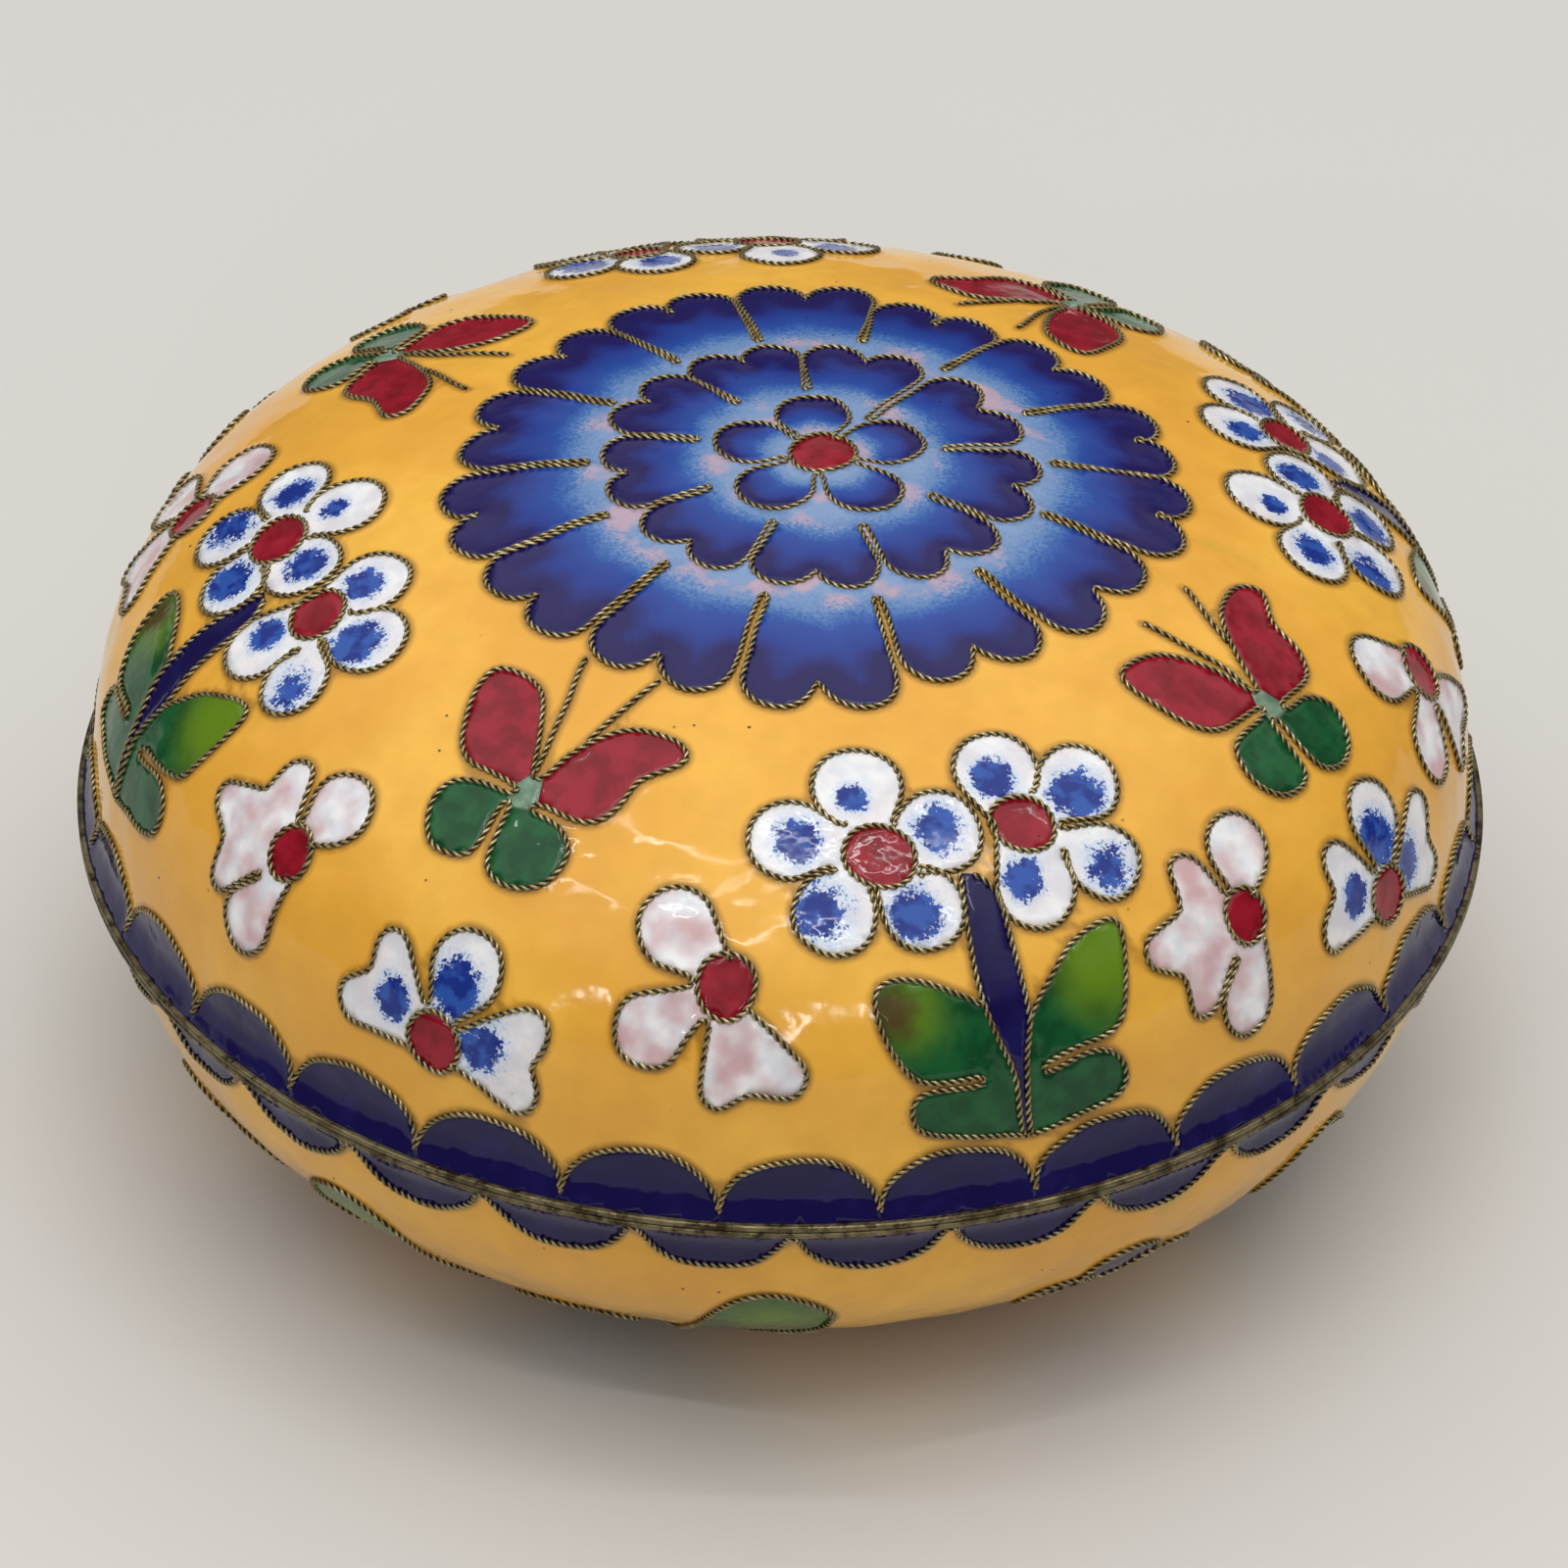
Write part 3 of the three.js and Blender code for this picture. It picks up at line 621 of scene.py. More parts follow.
def wire_brass():
    """Twisted brass wire, with painted shade in the lay of the strands and painted highlights on their
    crests.
    """
    material, add = new_material("twisted_brass_wire")
    place = add("TexCoord", None, "Object")
    # The crest share paints shade into the grooves between the strands and a highlight onto their
    # crests.
    crest = add("Attribute", None, "Fac", attribute_name="crest")
    crest = add("Math", {0: crest, 1: ragged(add, place, 1.4, 3, 0.5, 0.5)}, 0)
    return finished(material, add, {
        "Base Color": add("ValToRGB", {0: crest}, "Color", ramp=[
            (0.0, "#1E150B"), (0.5, "#43341E"), (0.72, "#74623E"), (0.9, "#9A8B62"),
            (1.0, "#C2B68E"),
        ]),
        "Metallic": 0.75,
        "Roughness": add("MapRange", {0: crest, 1: 0.5, 2: 1.0, 3: 0.6, 4: 0.34}, 0, **SOFT),
    })


def rim_brass():
    """Turned brass, dulled and scuffed by handling, brown where polish never reaches."""
    material, add = new_material("worn_turned_brass")
    place = add("TexCoord", None, "Object")
    tarnish = patches(add, place, 3.5, 0.42, 0.68, 4, 0.6)
    colour = add("Mix", {0: tarnish, 6: "#857A5C", 7: "#463B28"}, 2, **COLOUR)
    dirt = patches(add, place, 1.1, 0.46, 0.66, 4, 0.7, top=0.9)
    colour = add("Mix", {0: dirt, 6: colour, 7: "#2A2014"}, 2, **COLOUR)
    drawn_out = add("Mapping", {"Vector": place, "Scale": (1, 1, 14)}, 0)
    scratches = add("TexNoise", {
        "Vector": drawn_out, "Scale": 1 / (1.2 * MM), "Detail": 4, "Roughness": 0.7,
    }, "Fac")
    return finished(material, add, {
        "Base Color": colour,
        "Metallic": 1.0,
        "Roughness": patches(add, place, 0.8, 0.35, 0.7, 3, 0.5, 0.3, 0.55),
        "Normal": add("Bump", {
            "Height": scratches, "Strength": 0.6, "Distance": 0.08 * MM,
        }, "Normal"),
    })


wire_metal = wire_brass()
rim_metal = rim_brass()


# Making pieces


def new_piece(name, mesh, materials, nodes):
    """An object that rides on the box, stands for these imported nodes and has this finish."""
    piece = bpy.data.objects.new(name, mesh)
    bpy.context.scene.collection.objects.link(piece)
    for material in materials:
        mesh.materials.append(material)
    mesh.shade_smooth()
    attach(piece, "root")
    if nodes:
        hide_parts(*nodes)
    return piece


def positions(mesh):
    points = np.empty(len(mesh.vertices) * 3)
    mesh.vertices.foreach_get("co", points)
    return points.reshape(-1, 3)


def set_positions(mesh, points):
    mesh.vertices.foreach_set("co", np.asarray(points, float).ravel())
    mesh.update()


def set_attribute(mesh, name, values):
    layer = mesh.attributes.new(name, "FLOAT", "POINT")
    layer.data.foreach_set("value", np.asarray(values, np.float32))


def tree_of(points):
    """A search tree over points of two or three numbers."""
    tree = kdtree.KDTree(len(points))
    for i, point in enumerate(points):
        tree.insert((*point, 0)[:3] if len(point) == 2 else point, i)
    tree.balance()
    return tree


def distances(tree, points):
    return np.array([tree.find((*p, 0)[:3] if len(p) == 2 else p)[2] for p in points])


def climb(distance):
    """How far the enamel creeps up the wire beside it."""
    return MENISCUS * np.exp(-((distance / MENISCUS_WIDTH) ** MENISCUS_FALL))


wire_places = {lid_skin: [], bowl_skin: []}


def rope(name, skin, routes, nodes):
    """Wires twisted of two strands, laid on the enamel along routes on its map."""
    curve = bpy.data.curves.new(name, "CURVE")
    curve.dimensions = "3D"
    curve.bevel_depth = STRAND_RADIUS * MM
    curve.bevel_resolution = 1
    curve.use_fill_caps = True
    middles = []
    for route, closed in routes:
        line = eased(evenly(route, ROPE_STEP, closed), closed)
        wire_places[skin].append(line)
        centre = skin.lay(line, ROPE_SIT, True)
        normal = skin.lay(line, ROPE_SIT + 1, True) - centre
        normal /= np.linalg.norm(normal, axis=1)[:, None]
        if closed:
            along = np.roll(centre, -1, 0) - np.roll(centre, 1, 0)
        else:
            along = np.gradient(centre, axis=0)
        side = np.cross(along, normal)
        side /= np.linalg.norm(side, axis=1)[:, None]
        middles.append(centre)
        turns = len(line) * ROPE_STEP / ROPE_PITCH
        turns = max(1, round(turns)) if closed else turns
        phase = np.arange(len(line)) / len(line) * turns * 2 * math.pi
        for start in (0, math.pi):
            swing = (phase + start)[:, None]
            strand = centre + STRAND_RADIUS * MM * (np.cos(swing) * normal + np.sin(swing) * side)
            spline = curve.splines.new("POLY")
            spline.points.add(len(strand) - 1)
            rows = np.hstack([strand, np.ones((len(strand), 1))])
            spline.points.foreach_set("co", rows.ravel())
            spline.use_cyclic_u = closed
    holder = bpy.data.objects.new(name, curve)
    bpy.context.scene.collection.objects.link(holder)
    seen = holder.evaluated_get(bpy.context.evaluated_depsgraph_get())
    mesh = bpy.data.meshes.new_from_object(seen)
    bpy.data.objects.remove(holder)
    mesh.name = name
    bm = bmesh.new()
    bm.from_mesh(mesh)
    bmesh.ops.remove_doubles(bm, verts=bm.verts, dist=WELD * MM)
    bm.to_mesh(mesh)
    bm.free()
    # How far each point stands out from the rope's middle, from which the wire's colour paints shade
    # in the grooves and highlights on the crests.
    out = distances(tree_of(np.concatenate(middles)), positions(mesh))
    set_attribute(mesh, "crest", out / (2 * STRAND_RADIUS * MM))
    mesh.materials.clear()
    return new_piece(name, mesh, [wire_metal], nodes)


def enclosed(points, loop):
    """Whether each point is inside an outline, which may cross itself where lobes overlap."""
    ends = np.roll(loop, -1, 0)
    found = np.zeros(len(points), bool)
    for first in range(0, len(points), BATCH):
        px, py = points[first:first + BATCH, :1], points[first:first + BATCH, 1:]
        side = (ends[:, 0] - loop[:, 0]) * (py - loop[:, 1])
        side -= (px - loop[:, 0]) * (ends[:, 1] - loop[:, 1])
        rising = (loop[:, 1] <= py) & (ends[:, 1] > py) & (side > 0)
        falling = (loop[:, 1] > py) & (ends[:, 1] <= py) & (side < 0)
        found[first:first + BATCH] = (rising.sum(1) - falling.sum(1)) != 0
    return found


def fill(loops, material_index=0):
    """A thin plate of enamel inside the first outline and outside the others, in flat millimetres,
    in faces small enough to follow the dome."""
    corners = np.concatenate(loops)
    edges = []
    for loop in loops:
        first = len(edges)
        edges += [(first + i, first + (i + 1) % len(loop)) for i in range(len(loop))]
    low, high = np.min(loops[0], 0), np.max(loops[0], 0)
    rows = [np.arange(low[k] + FILL_GRID / 2, high[k], FILL_GRID) for k in (0, 1)]
    grid = np.stack(np.meshgrid(*rows), -1).reshape(-1, 2)
    if len(grid):
        clear = distances(tree_of(corners), grid) > FILL_GRID / 2
        grid = grid[clear & enclosed(grid, loops[0])]
    points = [Vector(p) for p in np.vstack([corners, grid])]
    places, _, faces, *_ = delaunay_2d_cdt(points, edges, [], 0, 1e-6)
    flat = np.array([p[:] for p in places])
    faces = np.array(faces)
    middles = flat[faces].mean(1)
    keep = enclosed(middles, loops[0])
    for hole in loops[1:]:
        keep &= ~enclosed(middles, hole)
    bm = bmesh.new()
    verts = [bm.verts.new((x, y, 0)) for x, y in flat]
    for face in faces[keep]:
        bm.faces.new([verts[i] for i in face])
    bmesh.ops.delete(bm, geom=[v for v in bm.verts if not v.link_faces], context="VERTS")
    bmesh.ops.dissolve_degenerate(bm, edges=bm.edges, dist=SHORT_EDGE)
    for face in bm.faces:
        if face.normal.z < 0:
            face.normal_flip()
    below = bmesh.ops.extrude_face_region(bm, geom=bm.faces[:], use_keep_orig=True)
    sunk = [g for g in below["geom"] if isinstance(g, bmesh.types.BMVert)]
    bmesh.ops.translate(bm, verts=sunk, vec=(0, 0, -FILL_DEPTH))
    bmesh.ops.recalc_face_normals(bm, faces=bm.faces)
    for face in bm.faces:
        face.material_index = material_index
    mesh = bpy.data.meshes.new("fill")
    bm.to_mesh(mesh)
    bm.free()
    return mesh


def joined(name, meshes):
    bm = bmesh.new()
    for mesh in meshes:
        bm.from_mesh(mesh)
        bpy.data.meshes.remove(mesh)
    mesh = bpy.data.meshes.new(name)
    bm.to_mesh(mesh)
    bm.free()
    return mesh


def face_outwards(mesh):
    """Turns a closed mesh's faces outwards where laying it on a map has turned them in."""
    bm = bmesh.new()
    bm.from_mesh(mesh)
    if bm.calc_volume(signed=True) < 0:
        mesh.flip_normals()
    bm.free()


def blots(points, spots):
    """The strongest of soft round spots (x, y, radius, strength) at each point."""
    strongest = np.zeros(len(points))
    for x, y, radius, strength in spots:
        away = np.hypot(points[:, 0] - x, points[:, 1] - y)
        strongest = np.maximum(strongest, strength * np.clip(1 - away / (2 * radius), 0, 1))
    return strongest


def motif(name, skin, mesh, materials, wires, place, zone, tint):
    """Paints a flat fill, sets it in place on the map and lays it on the enamel's face."""
    points = positions(mesh)
    flat = points[:, :2]
    lines = [evenly(wire, FILL_GRID / 3, False) for wire in wires]
    near = distances(tree_of(np.concatenate(lines)), flat)
    set_attribute(mesh, "zone", zone(flat))
    set_attribute(mesh, "tint", tint(flat))
    top = points[:, 2] > -FILL_DEPTH / 2
    lift = np.where(top, FILL_LIFT + climb(near), -FILL_DEPTH)
    set_positions(mesh, skin.lay(place(flat), lift, True))
    face_outwards(mesh)
    return new_piece(name, mesh, materials, [])


def still(route):
    """A place on the map as it is, for lines that are drawn on it."""
    return route


def all_over(share):
    """The same share of a colour at every point."""
    return lambda points: np.full(len(points), float(share))


def blotted(spots):
    """A function that gives the strongest of these spots at each point."""
    return lambda points: blots(points, spots)


none_of = all_over(0)


# The rose

outer_route = ring_route(OUTER_PETALS, slot=16, notch=2.4, lobe=2.5)
inner_route = ring_route(INNER_PETALS, slot=8.6, notch=1.9, lobe=2.2)
heart_route = ring_route(HEART_PETALS, slot=2.35, notch=0, lobe=2.6)
rose_eye = eye(ROSE_CENTRE, radius=2.1, point=0.3, turn=60)

rope("rose_outer_rope", lid_skin, [(outer_route, True)], ["rose_outer_wire"])
rope("rose_inner_rope", lid_skin, [(inner_route, True)], ["rose_inner_wire"])
rope("rose_heart_rope", lid_skin, [(heart_route, True), (rose_eye, True)], ["rose_heart_wire"])


# How far in a petal's tip reaches, as a share of its length, and how fast its shade lightens
TIP_SHARE = 0.4
TIP_SHADE = 1.1


def rose_ring(name, route, inner, tip, base):
    """One ring of petals, shaded in from the petals' tips and evenly round the ring at its base."""
    outline = evenly(route, OUTLINE_STEP, True)
    hole = evenly(inner, OUTLINE_STEP, True)
    reach = np.hypot(*(outline - ROSE_CENTRE).T)
    tips = tree_of(outline[reach > tip - TIP_SHARE * (tip - base)])

    def shade(flat):
        from_tip = distances(tips, flat) / (tip - base) * TIP_SHADE
        inwards = (tip - np.hypot(*(flat - ROSE_CENTRE).T)) / (tip - base)
        share = np.clip(inwards, 0, 1)
        return (1 - share) * from_tip + share * inwards

    motif(name, lid_skin, fill([outline, hole]), [rose_enamel], [outline, hole], still, shade,
          none_of)


rose_ring("rose_outer_petals", outer_route, inner_route, tip=25.4, base=15)
rose_ring("rose_inner_petals", inner_route, heart_route, tip=15, base=7)
rose_ring("rose_heart_petals", heart_route, rose_eye, tip=7.6, base=2.8)
motif("rose_eye", lid_skin, fill([rose_eye]), [red_enamel], [rose_eye], still, none_of, none_of)

# The sprays

left_flower = lobed(*LEFT_FLOWER)
right_flower = lobed(*RIGHT_FLOWER)
left_eye = eye(*LEFT_EYE)
right_eye = eye(*RIGHT_EYE)
stem_left = splined(STEM_LEFT)
stem_right = splined(STEM_RIGHT)
leaf_left = splined(LEAF_LEFT)
leaf_right = splined(LEAF_RIGHT)


def stretch_below(line, y):
    """The part of a stem under a height, from its foot up."""
    return line[line[:, 1] < y][::-1]


left_petals = evenly(left_flower, OUTLINE_STEP, True)
right_petals = evenly(right_flower, OUTLINE_STEP, True)
stem_cell = np.vstack([stem_left, stem_right[::-1]])
left_cell = np.vstack([leaf_left, stretch_below(stem_left, -5.6)])
right_cell = np.vstack([leaf_right, stretch_below(stem_right, -6.8)])

BLUE_BLOTS = [
    (-5.2, 9.7, 1.0, 1), (-9.5, 7.5, 1.5, 1), (-9.5, 2.5, 2.3, 0.8), (-3, 1, 1.7, 1),
    (-0.2, 6.5, 1.6, 0.95), (4.5, 9.7, 1.4, 1), (10, 7.8, 1.8, 1), (11, 2.5, 1.9, 0.75),
    (4.8, 2.3, 1.3, 1),
]
LEAF_LIGHTS = [(-4.8, -5.0, 2.6, 0.8), (9.6, -3.2, 3.2, 1.15)]
LEAF_SPOTS = [(-5.9, -5.0, 1.5, 1)]
SPRAY_TINT = 0.18

for side, (degrees, distance) in SPRAYS.items():
    set_down = partial(placed, degrees=degrees, distance=distance)
    wires = [
        (left_flower, True), (right_flower, True), (left_eye, True), (right_eye, True),
        (stem_left, False), (stem_right, False), (leaf_left, False), (leaf_right, False),
    ]
    rope(f"spray_rope_{side}", lid_skin, [(set_down(route), closed) for route, closed in wires],
         [f"spray_wire_{side}"])
    petals = joined("petals", [fill([left_petals, left_eye]), fill([right_petals, right_eye])])
    motif(f"spray_petals_{side}", lid_skin, petals, [white_enamel],
          [left_petals, right_petals, left_eye, right_eye], set_down, blotted(BLUE_BLOTS),
          all_over(SPRAY_TINT))
    eyes = joined("eyes", [fill([left_eye]), fill([right_eye])])
    motif(f"spray_eyes_{side}", lid_skin, eyes, [red_enamel], [left_eye, right_eye], set_down,
          none_of, none_of)
    leaves = joined("leaves", [fill([left_cell]), fill([right_cell]), fill([stem_cell], 1)])
    motif(f"spray_leaves_{side}", lid_skin, leaves, [green_enamel, navy_enamel],
          [leaf_left, leaf_right, stem_left, stem_right], set_down, blotted(LEAF_LIGHTS),
          blotted(LEAF_SPOTS))

# The butterflies

wings = splined(BUTTERFLY, True)


def stretch(first, last):
    """A closed cell from a stretch of the butterfly's outline."""
    return wings[first * SPLINE_STEPS:(last - 1) * SPLINE_STEPS + 1]


body_cell = np.array([BUTTERFLY[i] for i in BODY])

for i, (degrees, distance, reach) in enumerate(BUTTERFLIES):
    set_down = partial(placed, degrees=degrees, distance=distance)
    feelers = [
        splined([(-0.35, 2.45), (-0.5, 5.4), (-1.4, reach)]),
        splined([(2, 5.7), (4, reach)]),
    ]
    rope(f"butterfly_rope_{i + 1}", lid_skin,
         [(set_down(wings), True)] + [(set_down(feeler), False) for feeler in feelers],
         [f"butterfly_wire_{i + 1}"])
    cells = joined("cells", [fill([stretch(*span)]) for span in RED_WINGS]
                   + [fill([stretch(*span)], 1) for span in GREEN_WINGS]
                   + [fill([body_cell], 2)])
    motif(f"butterfly_wings_{i + 1}", lid_skin, cells, [red_enamel, green_enamel, body_enamel],
          [wings], set_down, none_of, none_of)

# The blossoms

BLOSSOM_BLOTS = {
    "pink_left": [],
    "pink_right": [],
    "blue_white": [(-3.6, 1.4, 1.4, 1), (1.2, 3.4, 1.9, 1), (4.2, 0.2, 1.9, 0.85)],
}
BLOSSOM_TINTS = {"pink_left": 0.85, "pink_right": 0.85, "blue_white": 0.2}

for i, (kind, degrees, distance) in enumerate(BLOSSOMS):
    set_down = partial(placed, degrees=degrees, distance=distance)
    centre, start, lobes, eye_size = BLOSSOM_KINDS[kind]
    outline = lobed(centre, lobes, start)
    ring = eye(np.array(centre), *eye_size)
    rope(f"blossom_rope_{i + 1}", lid_skin, [(set_down(outline), False), (set_down(ring), True)],
         [f"blossom_wire_{i + 1}"])
    petals = fill([evenly(outline, OUTLINE_STEP, True), ring])
    motif(f"blossom_petals_{i + 1}", lid_skin, petals, [white_enamel], [outline, ring], set_down,
          blotted(BLOSSOM_BLOTS[kind]), all_over(BLOSSOM_TINTS[kind]))
    motif(f"blossom_eye_{i + 1}", lid_skin, fill([ring]), [red_enamel], [ring], set_down, none_of,
          none_of)

# The scallops. Each wire's points crowd towards its ends, where it turns most
SCALLOP_CROWDING = 1.6


def scallops(name, skin, sizes, node):
    """A row of half-round scallops along a rim, wire and navy fill."""
    low, high, phase, share = sizes
    route = []
    fills = []
    width = 360 / SCALLOP_COUNT
    for k in range(SCALLOP_COUNT):
        arc = []
        for x in np.linspace(-1, 1, SCALLOP_STEPS):
            x = math.copysign(1 - (1 - abs(x)) ** SCALLOP_CROWDING, x)
            rise = max(1 - x**2, 0) ** 0.5
            degrees = phase + width * (k + 0.5 + 0.5 * x * share)
            arc.append(polar(skin.total - low - rise * (high - low), degrees))
        route += arc
        foot = [
            polar(skin.total - BAND_HEIGHT / 2, phase + width * (k + 0.5 + 0.5 * x * share))
            for x in (1, 0.5, 0, -0.5, -1)
        ]
        fills.append(fill([np.array(arc + foot)]))
    route = np.array(route)
    rope(f"{name}_rope", skin, [(route, True)], [node])
    motif(f"{name}_fill", skin, joined("scallops", fills), [navy_enamel], [route], still, none_of,
          none_of)


scallops("lid_scallop", lid_skin, LID_SCALLOPS, "lid_scallop_wire")
scallops("base_scallop", bowl_skin, BASE_SCALLOPS, "base_scallop_wire")

# The bowl's leaf sprays and navy flowers, drawn with y away from its middle
BASE_SPRAY_TURNS = (-108.7, -18.7, 71.3, 161.3)
WRAP_RADIUS = 47
BASE_SPRAY_DROP = 20.4
BASE_LEAVES = [
    [(-0.5, -9.4), (-6, -8), (-12, -3.5), (-17, 2), (-19.4, 6.8), (-18.4, 10.8), (-15.4, 12.4),
     (-12.2, 10.2), (-10.2, 5.4), (-7.6, -0.2), (-4.8, -4.8), (-0.5, -6.8)],
    [(0.5, -9.4), (6.2, -7.8), (12.2, -3), (17.2, 2.6), (19.6, 7.4), (18.2, 11.2), (15, 12.5),
     (11.9, 10), (10, 5), (7.4, -0.6), (4.7, -5), (0.5, -6.8)],
]
BASE_STEM = [(-0.5, -6.2), (-0.8, -8.2), (-0.5, -10.6), (0.6, -10.6), (0.9, -8.2), (0.5, -6.2)]
BASE_LEAF_LIGHTS = [(-15.5, 8, 3.4, 0.8), (15.5, 8, 3.6, 0.8)]
BASE_BLOTS = [(0, 3.0, 1.2, 1), (-3.4, 0.4, 1.2, 0.9), (3.4, 0.4, 1.2, 0.9), (-2, -3.4, 1.1, 0.9),
              (2, -3.4, 1.1, 0.9)]
BASE_FLOWER_TURNS = (-59, 31, 121, 211)
BASE_FLOWER_DROP = 17.3
BASE_TINT = 0.2


def five_petals(centre, reach, radius, dip):
    """A round flower of five petals, one of them upright."""
    return lobed(centre, [(90 - 72 * k, reach, radius, (54 - 72 * k, dip, True)) for k in range(5)])


small_flower = five_petals((0, -0.8), 5.2, 2.0, 2.1)
small_eye = eye(np.array((0, -0.8)), 1.3, 0.3, 90)
leaf_cells = [splined(leaf, True) for leaf in BASE_LEAVES]
base_stem = splined(BASE_STEM, True)
outlines = [small_flower, small_eye, base_stem] + leaf_cells

for i, degrees in enumerate(BASE_SPRAY_TURNS):
    distance = bowl_skin.total - BASE_SPRAY_DROP
    set_down = partial(wrapped, degrees=degrees, distance=distance)
    rope(f"base_spray_rope_{i + 1}", bowl_skin, [(set_down(line), True) for line in outlines], [])
    leaves = joined("leaves", [fill([evenly(leaf, OUTLINE_STEP, True)]) for leaf in leaf_cells]
                    + [fill([evenly(base_stem, OUTLINE_STEP, True)], 1)])
    motif(f"base_leaves_{i + 1}", bowl_skin, leaves, [green_enamel, navy_enamel],
          leaf_cells + [base_stem], set_down, blotted(BASE_LEAF_LIGHTS), none_of)
    petals = fill([evenly(small_flower, OUTLINE_STEP, True), small_eye])
    motif(f"base_petals_{i + 1}", bowl_skin, petals, [white_enamel], [small_flower, small_eye],
          set_down, blotted(BASE_BLOTS), all_over(BASE_TINT))
    motif(f"base_eye_{i + 1}", bowl_skin, fill([small_eye]), [red_enamel], [small_eye], set_down,
          none_of, none_of)

large_flower = five_petals((0, 0), 7.5, 3.1, 2.8)
large_eye = eye(np.zeros(2), 1.9, 0.3, 90)

for i, degrees in enumerate(BASE_FLOWER_TURNS):
    distance = bowl_skin.total - BASE_FLOWER_DROP
    set_down = partial(wrapped, degrees=degrees, distance=distance)
    rope(f"base_flower_rope_{i + 1}", bowl_skin,
         [(set_down(large_flower), True), (set_down(large_eye), True)], [])
    petals = fill([evenly(large_flower, OUTLINE_STEP, True), large_eye])
    motif(f"base_flower_{i + 1}", bowl_skin, petals, [navy_enamel], [large_flower, large_eye],
          set_down, none_of, none_of)
    motif(f"base_flower_eye_{i + 1}", bowl_skin, fill([large_eye]), [red_enamel], [large_eye],
          set_down, none_of, none_of)

# The enamelled copper of the lid and the bowl


def spun(section, segments):
    """Spins a closed section of (radius, height) about the axis, in millimetres."""
    bm = bmesh.new()
    corners = [bm.verts.new((r, 0, z)) for r, z in section]
    edges = [bm.edges.new((a, b)) for a, b in zip(corners, corners[1:] + corners[:1])]
    bmesh.ops.spin(bm, geom=corners + edges, cent=(0, 0, 0), axis=(0, 0, 1),
                   angle=2 * math.pi, steps=segments, use_merge=True)
    bmesh.ops.remove_doubles(bm, verts=bm.verts, dist=FINE_WELD)
    bmesh.ops.recalc_face_normals(bm, faces=bm.faces)
    return bm


def shell(name, skin, node, foot_ring_radius=0):
    """A wall of the box, spun flat on the map and laid to its curve, with its lining."""
    edge = skin.total - BAND_HEIGHT - SEAM
    outside = [(s, 0) for s in np.linspace(0, edge, int(edge / SHELL_RING))]
    lining = [(s, -WALL) for s in np.linspace(edge, 0, int(edge / LINING_RING))]
    bm = spun(outside + lining, SHELL_SEGMENTS)
    bmesh.ops.dissolve_degenerate(bm, edges=bm.edges, dist=1e-6)
    for face in bm.faces:
        middle = face.calc_center_median()
        inside = middle.z < -WALL / 4
        face.material_index = int(inside or middle.xy.length < foot_ring_radius)
    mesh = bpy.data.meshes.new(name)
    bm.to_mesh(mesh)
    bm.free()
    points = positions(mesh)
    flat = points[:, :2]
    wires = np.concatenate([line + sway(line, skin.total) for line in wire_places[skin]])
    near = distances(tree_of(wires), flat)
    outer = points[:, 2] > -WALL / 2
    # The distance to the nearest wire, which the yellow enamel turns into painted shade along the
    # wires.
    set_attribute(mesh, "wire_distance", near)
    lift = np.where(outer, climb(near), -WALL)
    set_positions(mesh, skin.lay(flat, lift))
    face_outwards(mesh)
    return new_piece(name, mesh, [yellow_enamel, lining_enamel], [node])


shell("lid_enamel", lid_skin, "lid_shell")
shell("base_enamel", bowl_skin, "base_bowl", FOOT_RADIUS - FOOT_WALL / 2)

# Brass. Edges sharper than this are eased
SHARP_EDGE = math.radians(50)


def turned(name, section, node, soften):
    """A turned ring of brass with its edges eased."""
    bm = spun(section, BAND_SEGMENTS)
    sharp = [e for e in bm.edges if e.is_manifold and e.calc_face_angle() > SHARP_EDGE]
    bmesh.ops.bevel(bm, geom=sharp, offset=soften, offset_type="OFFSET", segments=3, profile=0.5,
                    affect="EDGES", material=-1)
    bmesh.ops.scale(bm, vec=(MM, MM, MM), verts=bm.verts)
    mesh = bpy.data.meshes.new(name)
    bm.to_mesh(mesh)
    bm.free()
    return new_piece(name, mesh, [rim_metal], [node])


MOUTH_RADIUS = ENAMEL_RADIUS - WALL + FLARE
turned("lid_rim_brass", [
    (MOUTH_RADIUS, JOINT + SEAM / 2),
    (BAND_RADIUS, JOINT + SEAM / 2),
    (BAND_RADIUS, JOINT + BAND_HEIGHT),
    (MOUTH_RADIUS, JOINT + BAND_HEIGHT),
], "lid_rim_band", 0.16)
turned("base_rim_brass", [
    (COLLAR_RADIUS - COLLAR_WALL, JOINT - COLLAR_DROP),
    (COLLAR_RADIUS, JOINT - COLLAR_DROP),
    (COLLAR_RADIUS, JOINT - BAND_HEIGHT),
    (BAND_RADIUS, JOINT - BAND_HEIGHT),
    (BAND_RADIUS, JOINT - SEAM / 2),
    (COLLAR_RADIUS, JOINT - SEAM / 2),
    (COLLAR_RADIUS, JOINT + COLLAR_RISE),
    (COLLAR_RADIUS - COLLAR_WALL, JOINT + COLLAR_RISE),
], "base_rim_and_collar", 0.16)
turned("foot_ring_brass", [
    (FOOT_RADIUS + FOOT_SPREAD - FOOT_WALL, 0),
    (FOOT_RADIUS + FOOT_SPREAD, 0),
    (FOOT_RADIUS, FOOT_HEIGHT),
    (FOOT_RADIUS - FOOT_WALL, FOOT_HEIGHT),
], "foot_ring", 0.2)

# Camera at the photograph's angle, from a fit to the rims and the pattern
PHOTO_SIZE = 1600
SENSOR = 36
CAMERA_DISTANCE = 372.0
CAMERA_ELEVATION = math.radians(36.5401)
CAMERA_ROLL = math.radians(1.1291)
CAMERA_YAW = math.radians(0.0381)
CAMERA_PITCH = math.radians(-0.1927)
FOCAL_PIXELS = 5198.82

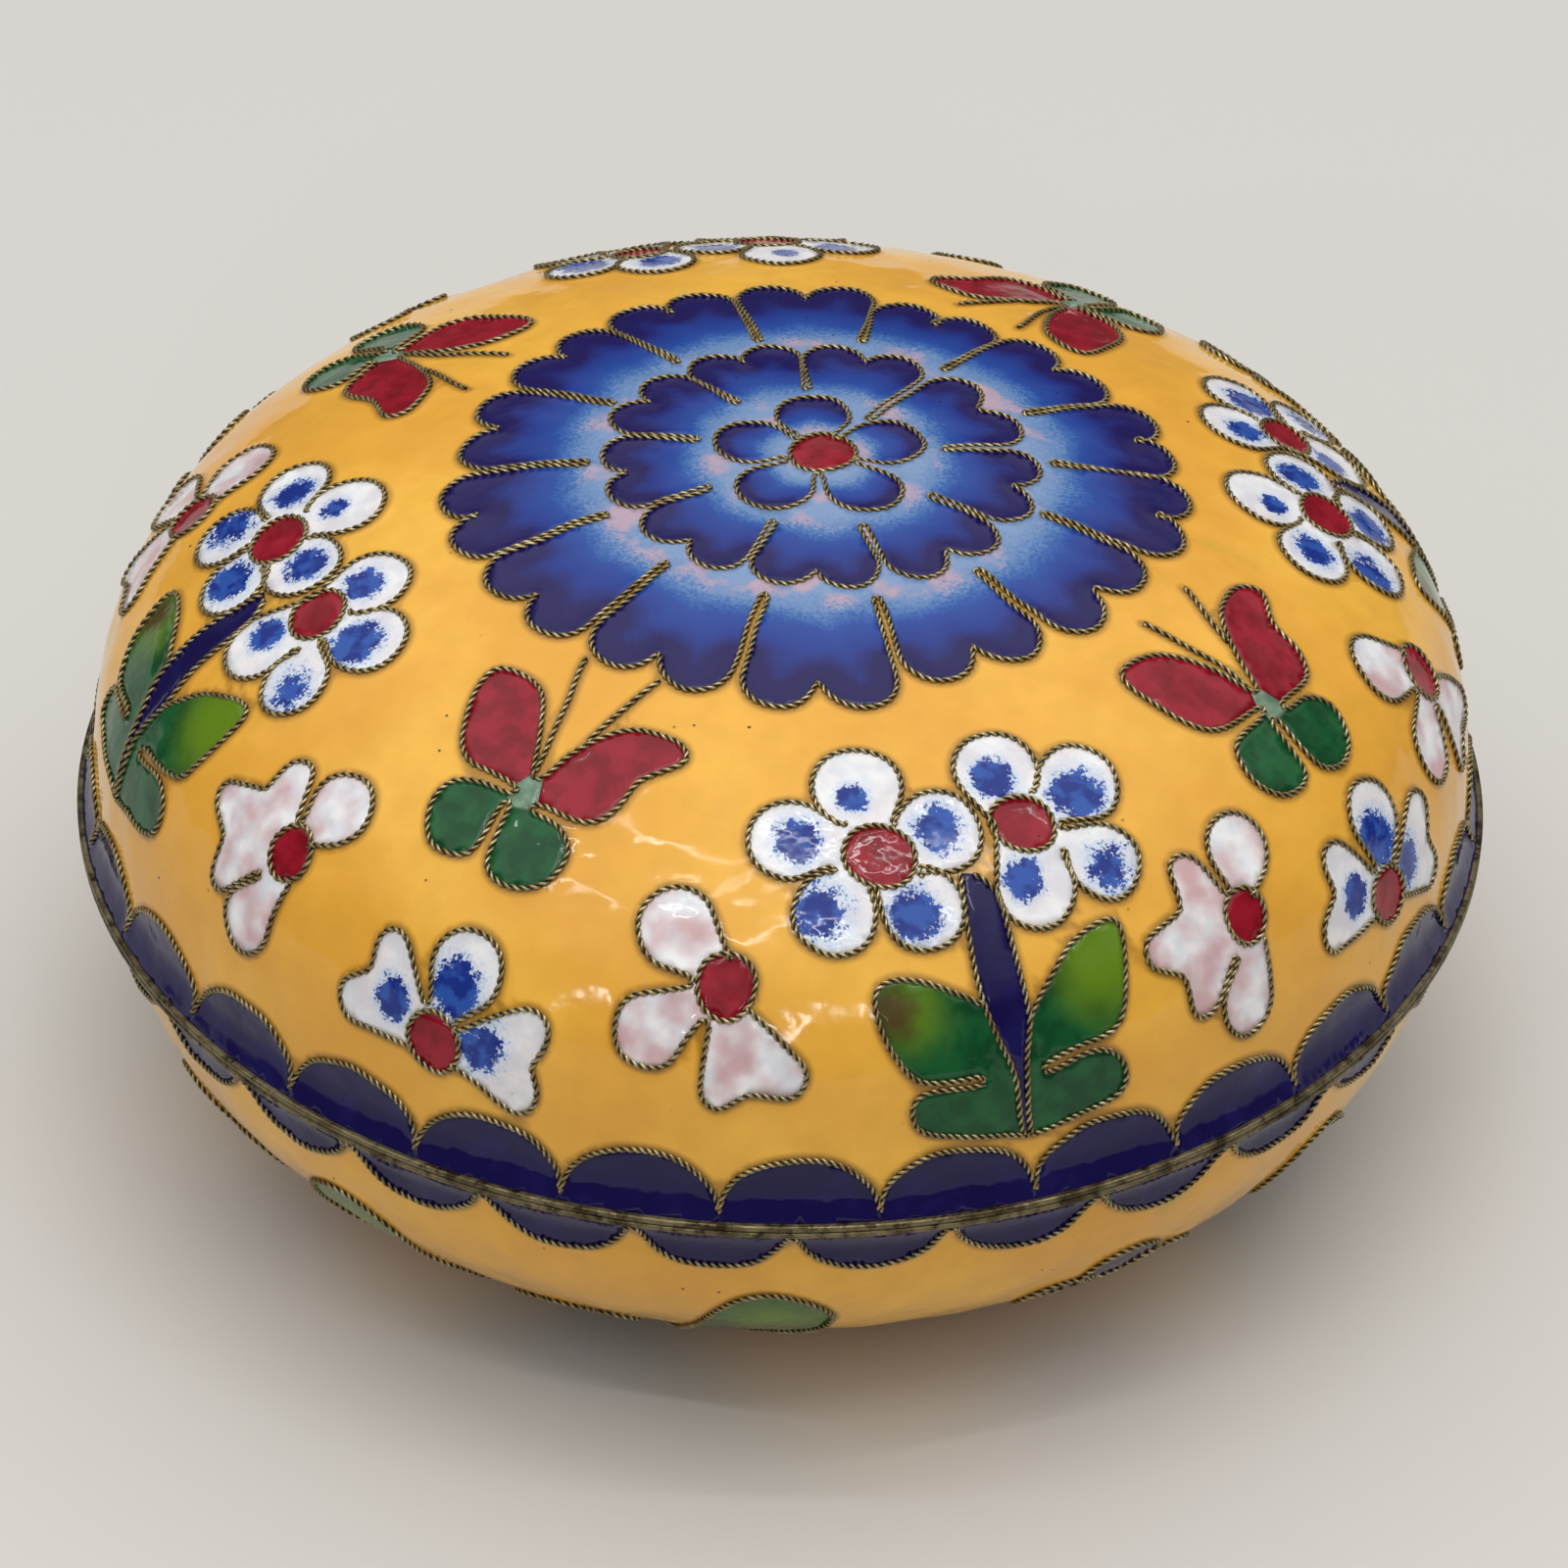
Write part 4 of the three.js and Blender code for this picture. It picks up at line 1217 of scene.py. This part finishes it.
back = Vector((0, -math.cos(CAMERA_ELEVATION), math.sin(CAMERA_ELEVATION)))
up = Vector((0, math.sin(CAMERA_ELEVATION), math.cos(CAMERA_ELEVATION)))
right = Vector((1, 0, 0))
ahead = -back * math.cos(CAMERA_YAW) + right * math.sin(CAMERA_YAW)
right = right * math.cos(CAMERA_YAW) + back * math.sin(CAMERA_YAW)
ahead, up = (
    ahead * math.cos(CAMERA_PITCH) + up * math.sin(CAMERA_PITCH),
    up * math.cos(CAMERA_PITCH) - ahead * math.sin(CAMERA_PITCH),
)
right, up = (
    right * math.cos(CAMERA_ROLL) + up * math.sin(CAMERA_ROLL),
    up * math.cos(CAMERA_ROLL) - right * math.sin(CAMERA_ROLL),
)
place = (back * CAMERA_DISTANCE + Vector((0, 0, JOINT))) * MM
camera = bpy.data.objects.new("camera", bpy.data.cameras.new("camera"))
bpy.context.scene.collection.objects.link(camera)
turn = Matrix((right, up, -ahead)).transposed().to_4x4()
camera.matrix_world = Matrix.Translation(place) @ turn
camera.data.sensor_width = SENSOR
camera.data.lens = FOCAL_PIXELS * SENSOR / PHOTO_SIZE
camera.data.clip_start = 0.01
bpy.context.scene.camera = camera

# Studio: a pale floor, soft daylight all round and strip lamps overhead
FLOOR_REACH = 3
BOX_MIDDLE = Vector((0, 0, 0.03))

bm = bmesh.new()
bmesh.ops.create_grid(bm, x_segments=2, y_segments=2, size=FLOOR_REACH)
floor_mesh = bpy.data.meshes.new("floor")
bm.to_mesh(floor_mesh)
bm.free()
floor = bpy.data.objects.new("floor", floor_mesh)
bpy.context.scene.collection.objects.link(floor)
paper, add = new_material("white_paper")
floor_mesh.materials.append(finished(paper, add, {"Base Color": "#D2D0CC", "Roughness": 0.9}))

world = bpy.data.worlds.new("studio")
bpy.context.scene.world = world
world.use_nodes = True
sky = world.node_tree
height = add_node(sky, "SeparateXYZ", {0: add_node(sky, "TexCoord", None, "Generated")}, "Z")
strength = add_node(sky, "MapRange", {0: height, 1: 0.33, 2: 1.0, 3: 0.08, 4: 1.5}, 0, **SOFT)
sky.nodes["Background"].inputs["Color"].default_value = linear("#FDFCFA")
sky.links.new(strength, sky.nodes["Background"].inputs["Strength"])


def lamp(name, spot, size, watts):
    """A rectangular soft lamp that faces the box."""
    light = bpy.data.lights.new(name, "AREA")
    light.shape = "RECTANGLE"
    light.size, light.size_y = size
    light.energy = watts
    holder = bpy.data.objects.new(name, light)
    bpy.context.scene.collection.objects.link(holder)
    holder.location = spot
    aim = BOX_MIDDLE - Vector(spot)
    holder.rotation_mode = "QUATERNION"
    holder.rotation_quaternion = aim.to_track_quat("-Z", "Y")


lamp("tube_far", (0.0, -0.12, 1.2), (0.9, 0.02), 1.3)
lamp("tube_middle", (0.1, -0.3, 1.2), (0.9, 0.02), 1.3)
lamp("tube_near", (-0.1, -0.55, 1.15), (0.9, 0.02), 1.3)
lamp("window_left", (-0.62, -1.05, 0.62), (0.08, 0.06), 0.45)
lamp("window_right", (0.12, -1.15, 0.58), (0.08, 0.07), 0.5)

bpy.context.scene.view_settings.view_transform = "Standard"
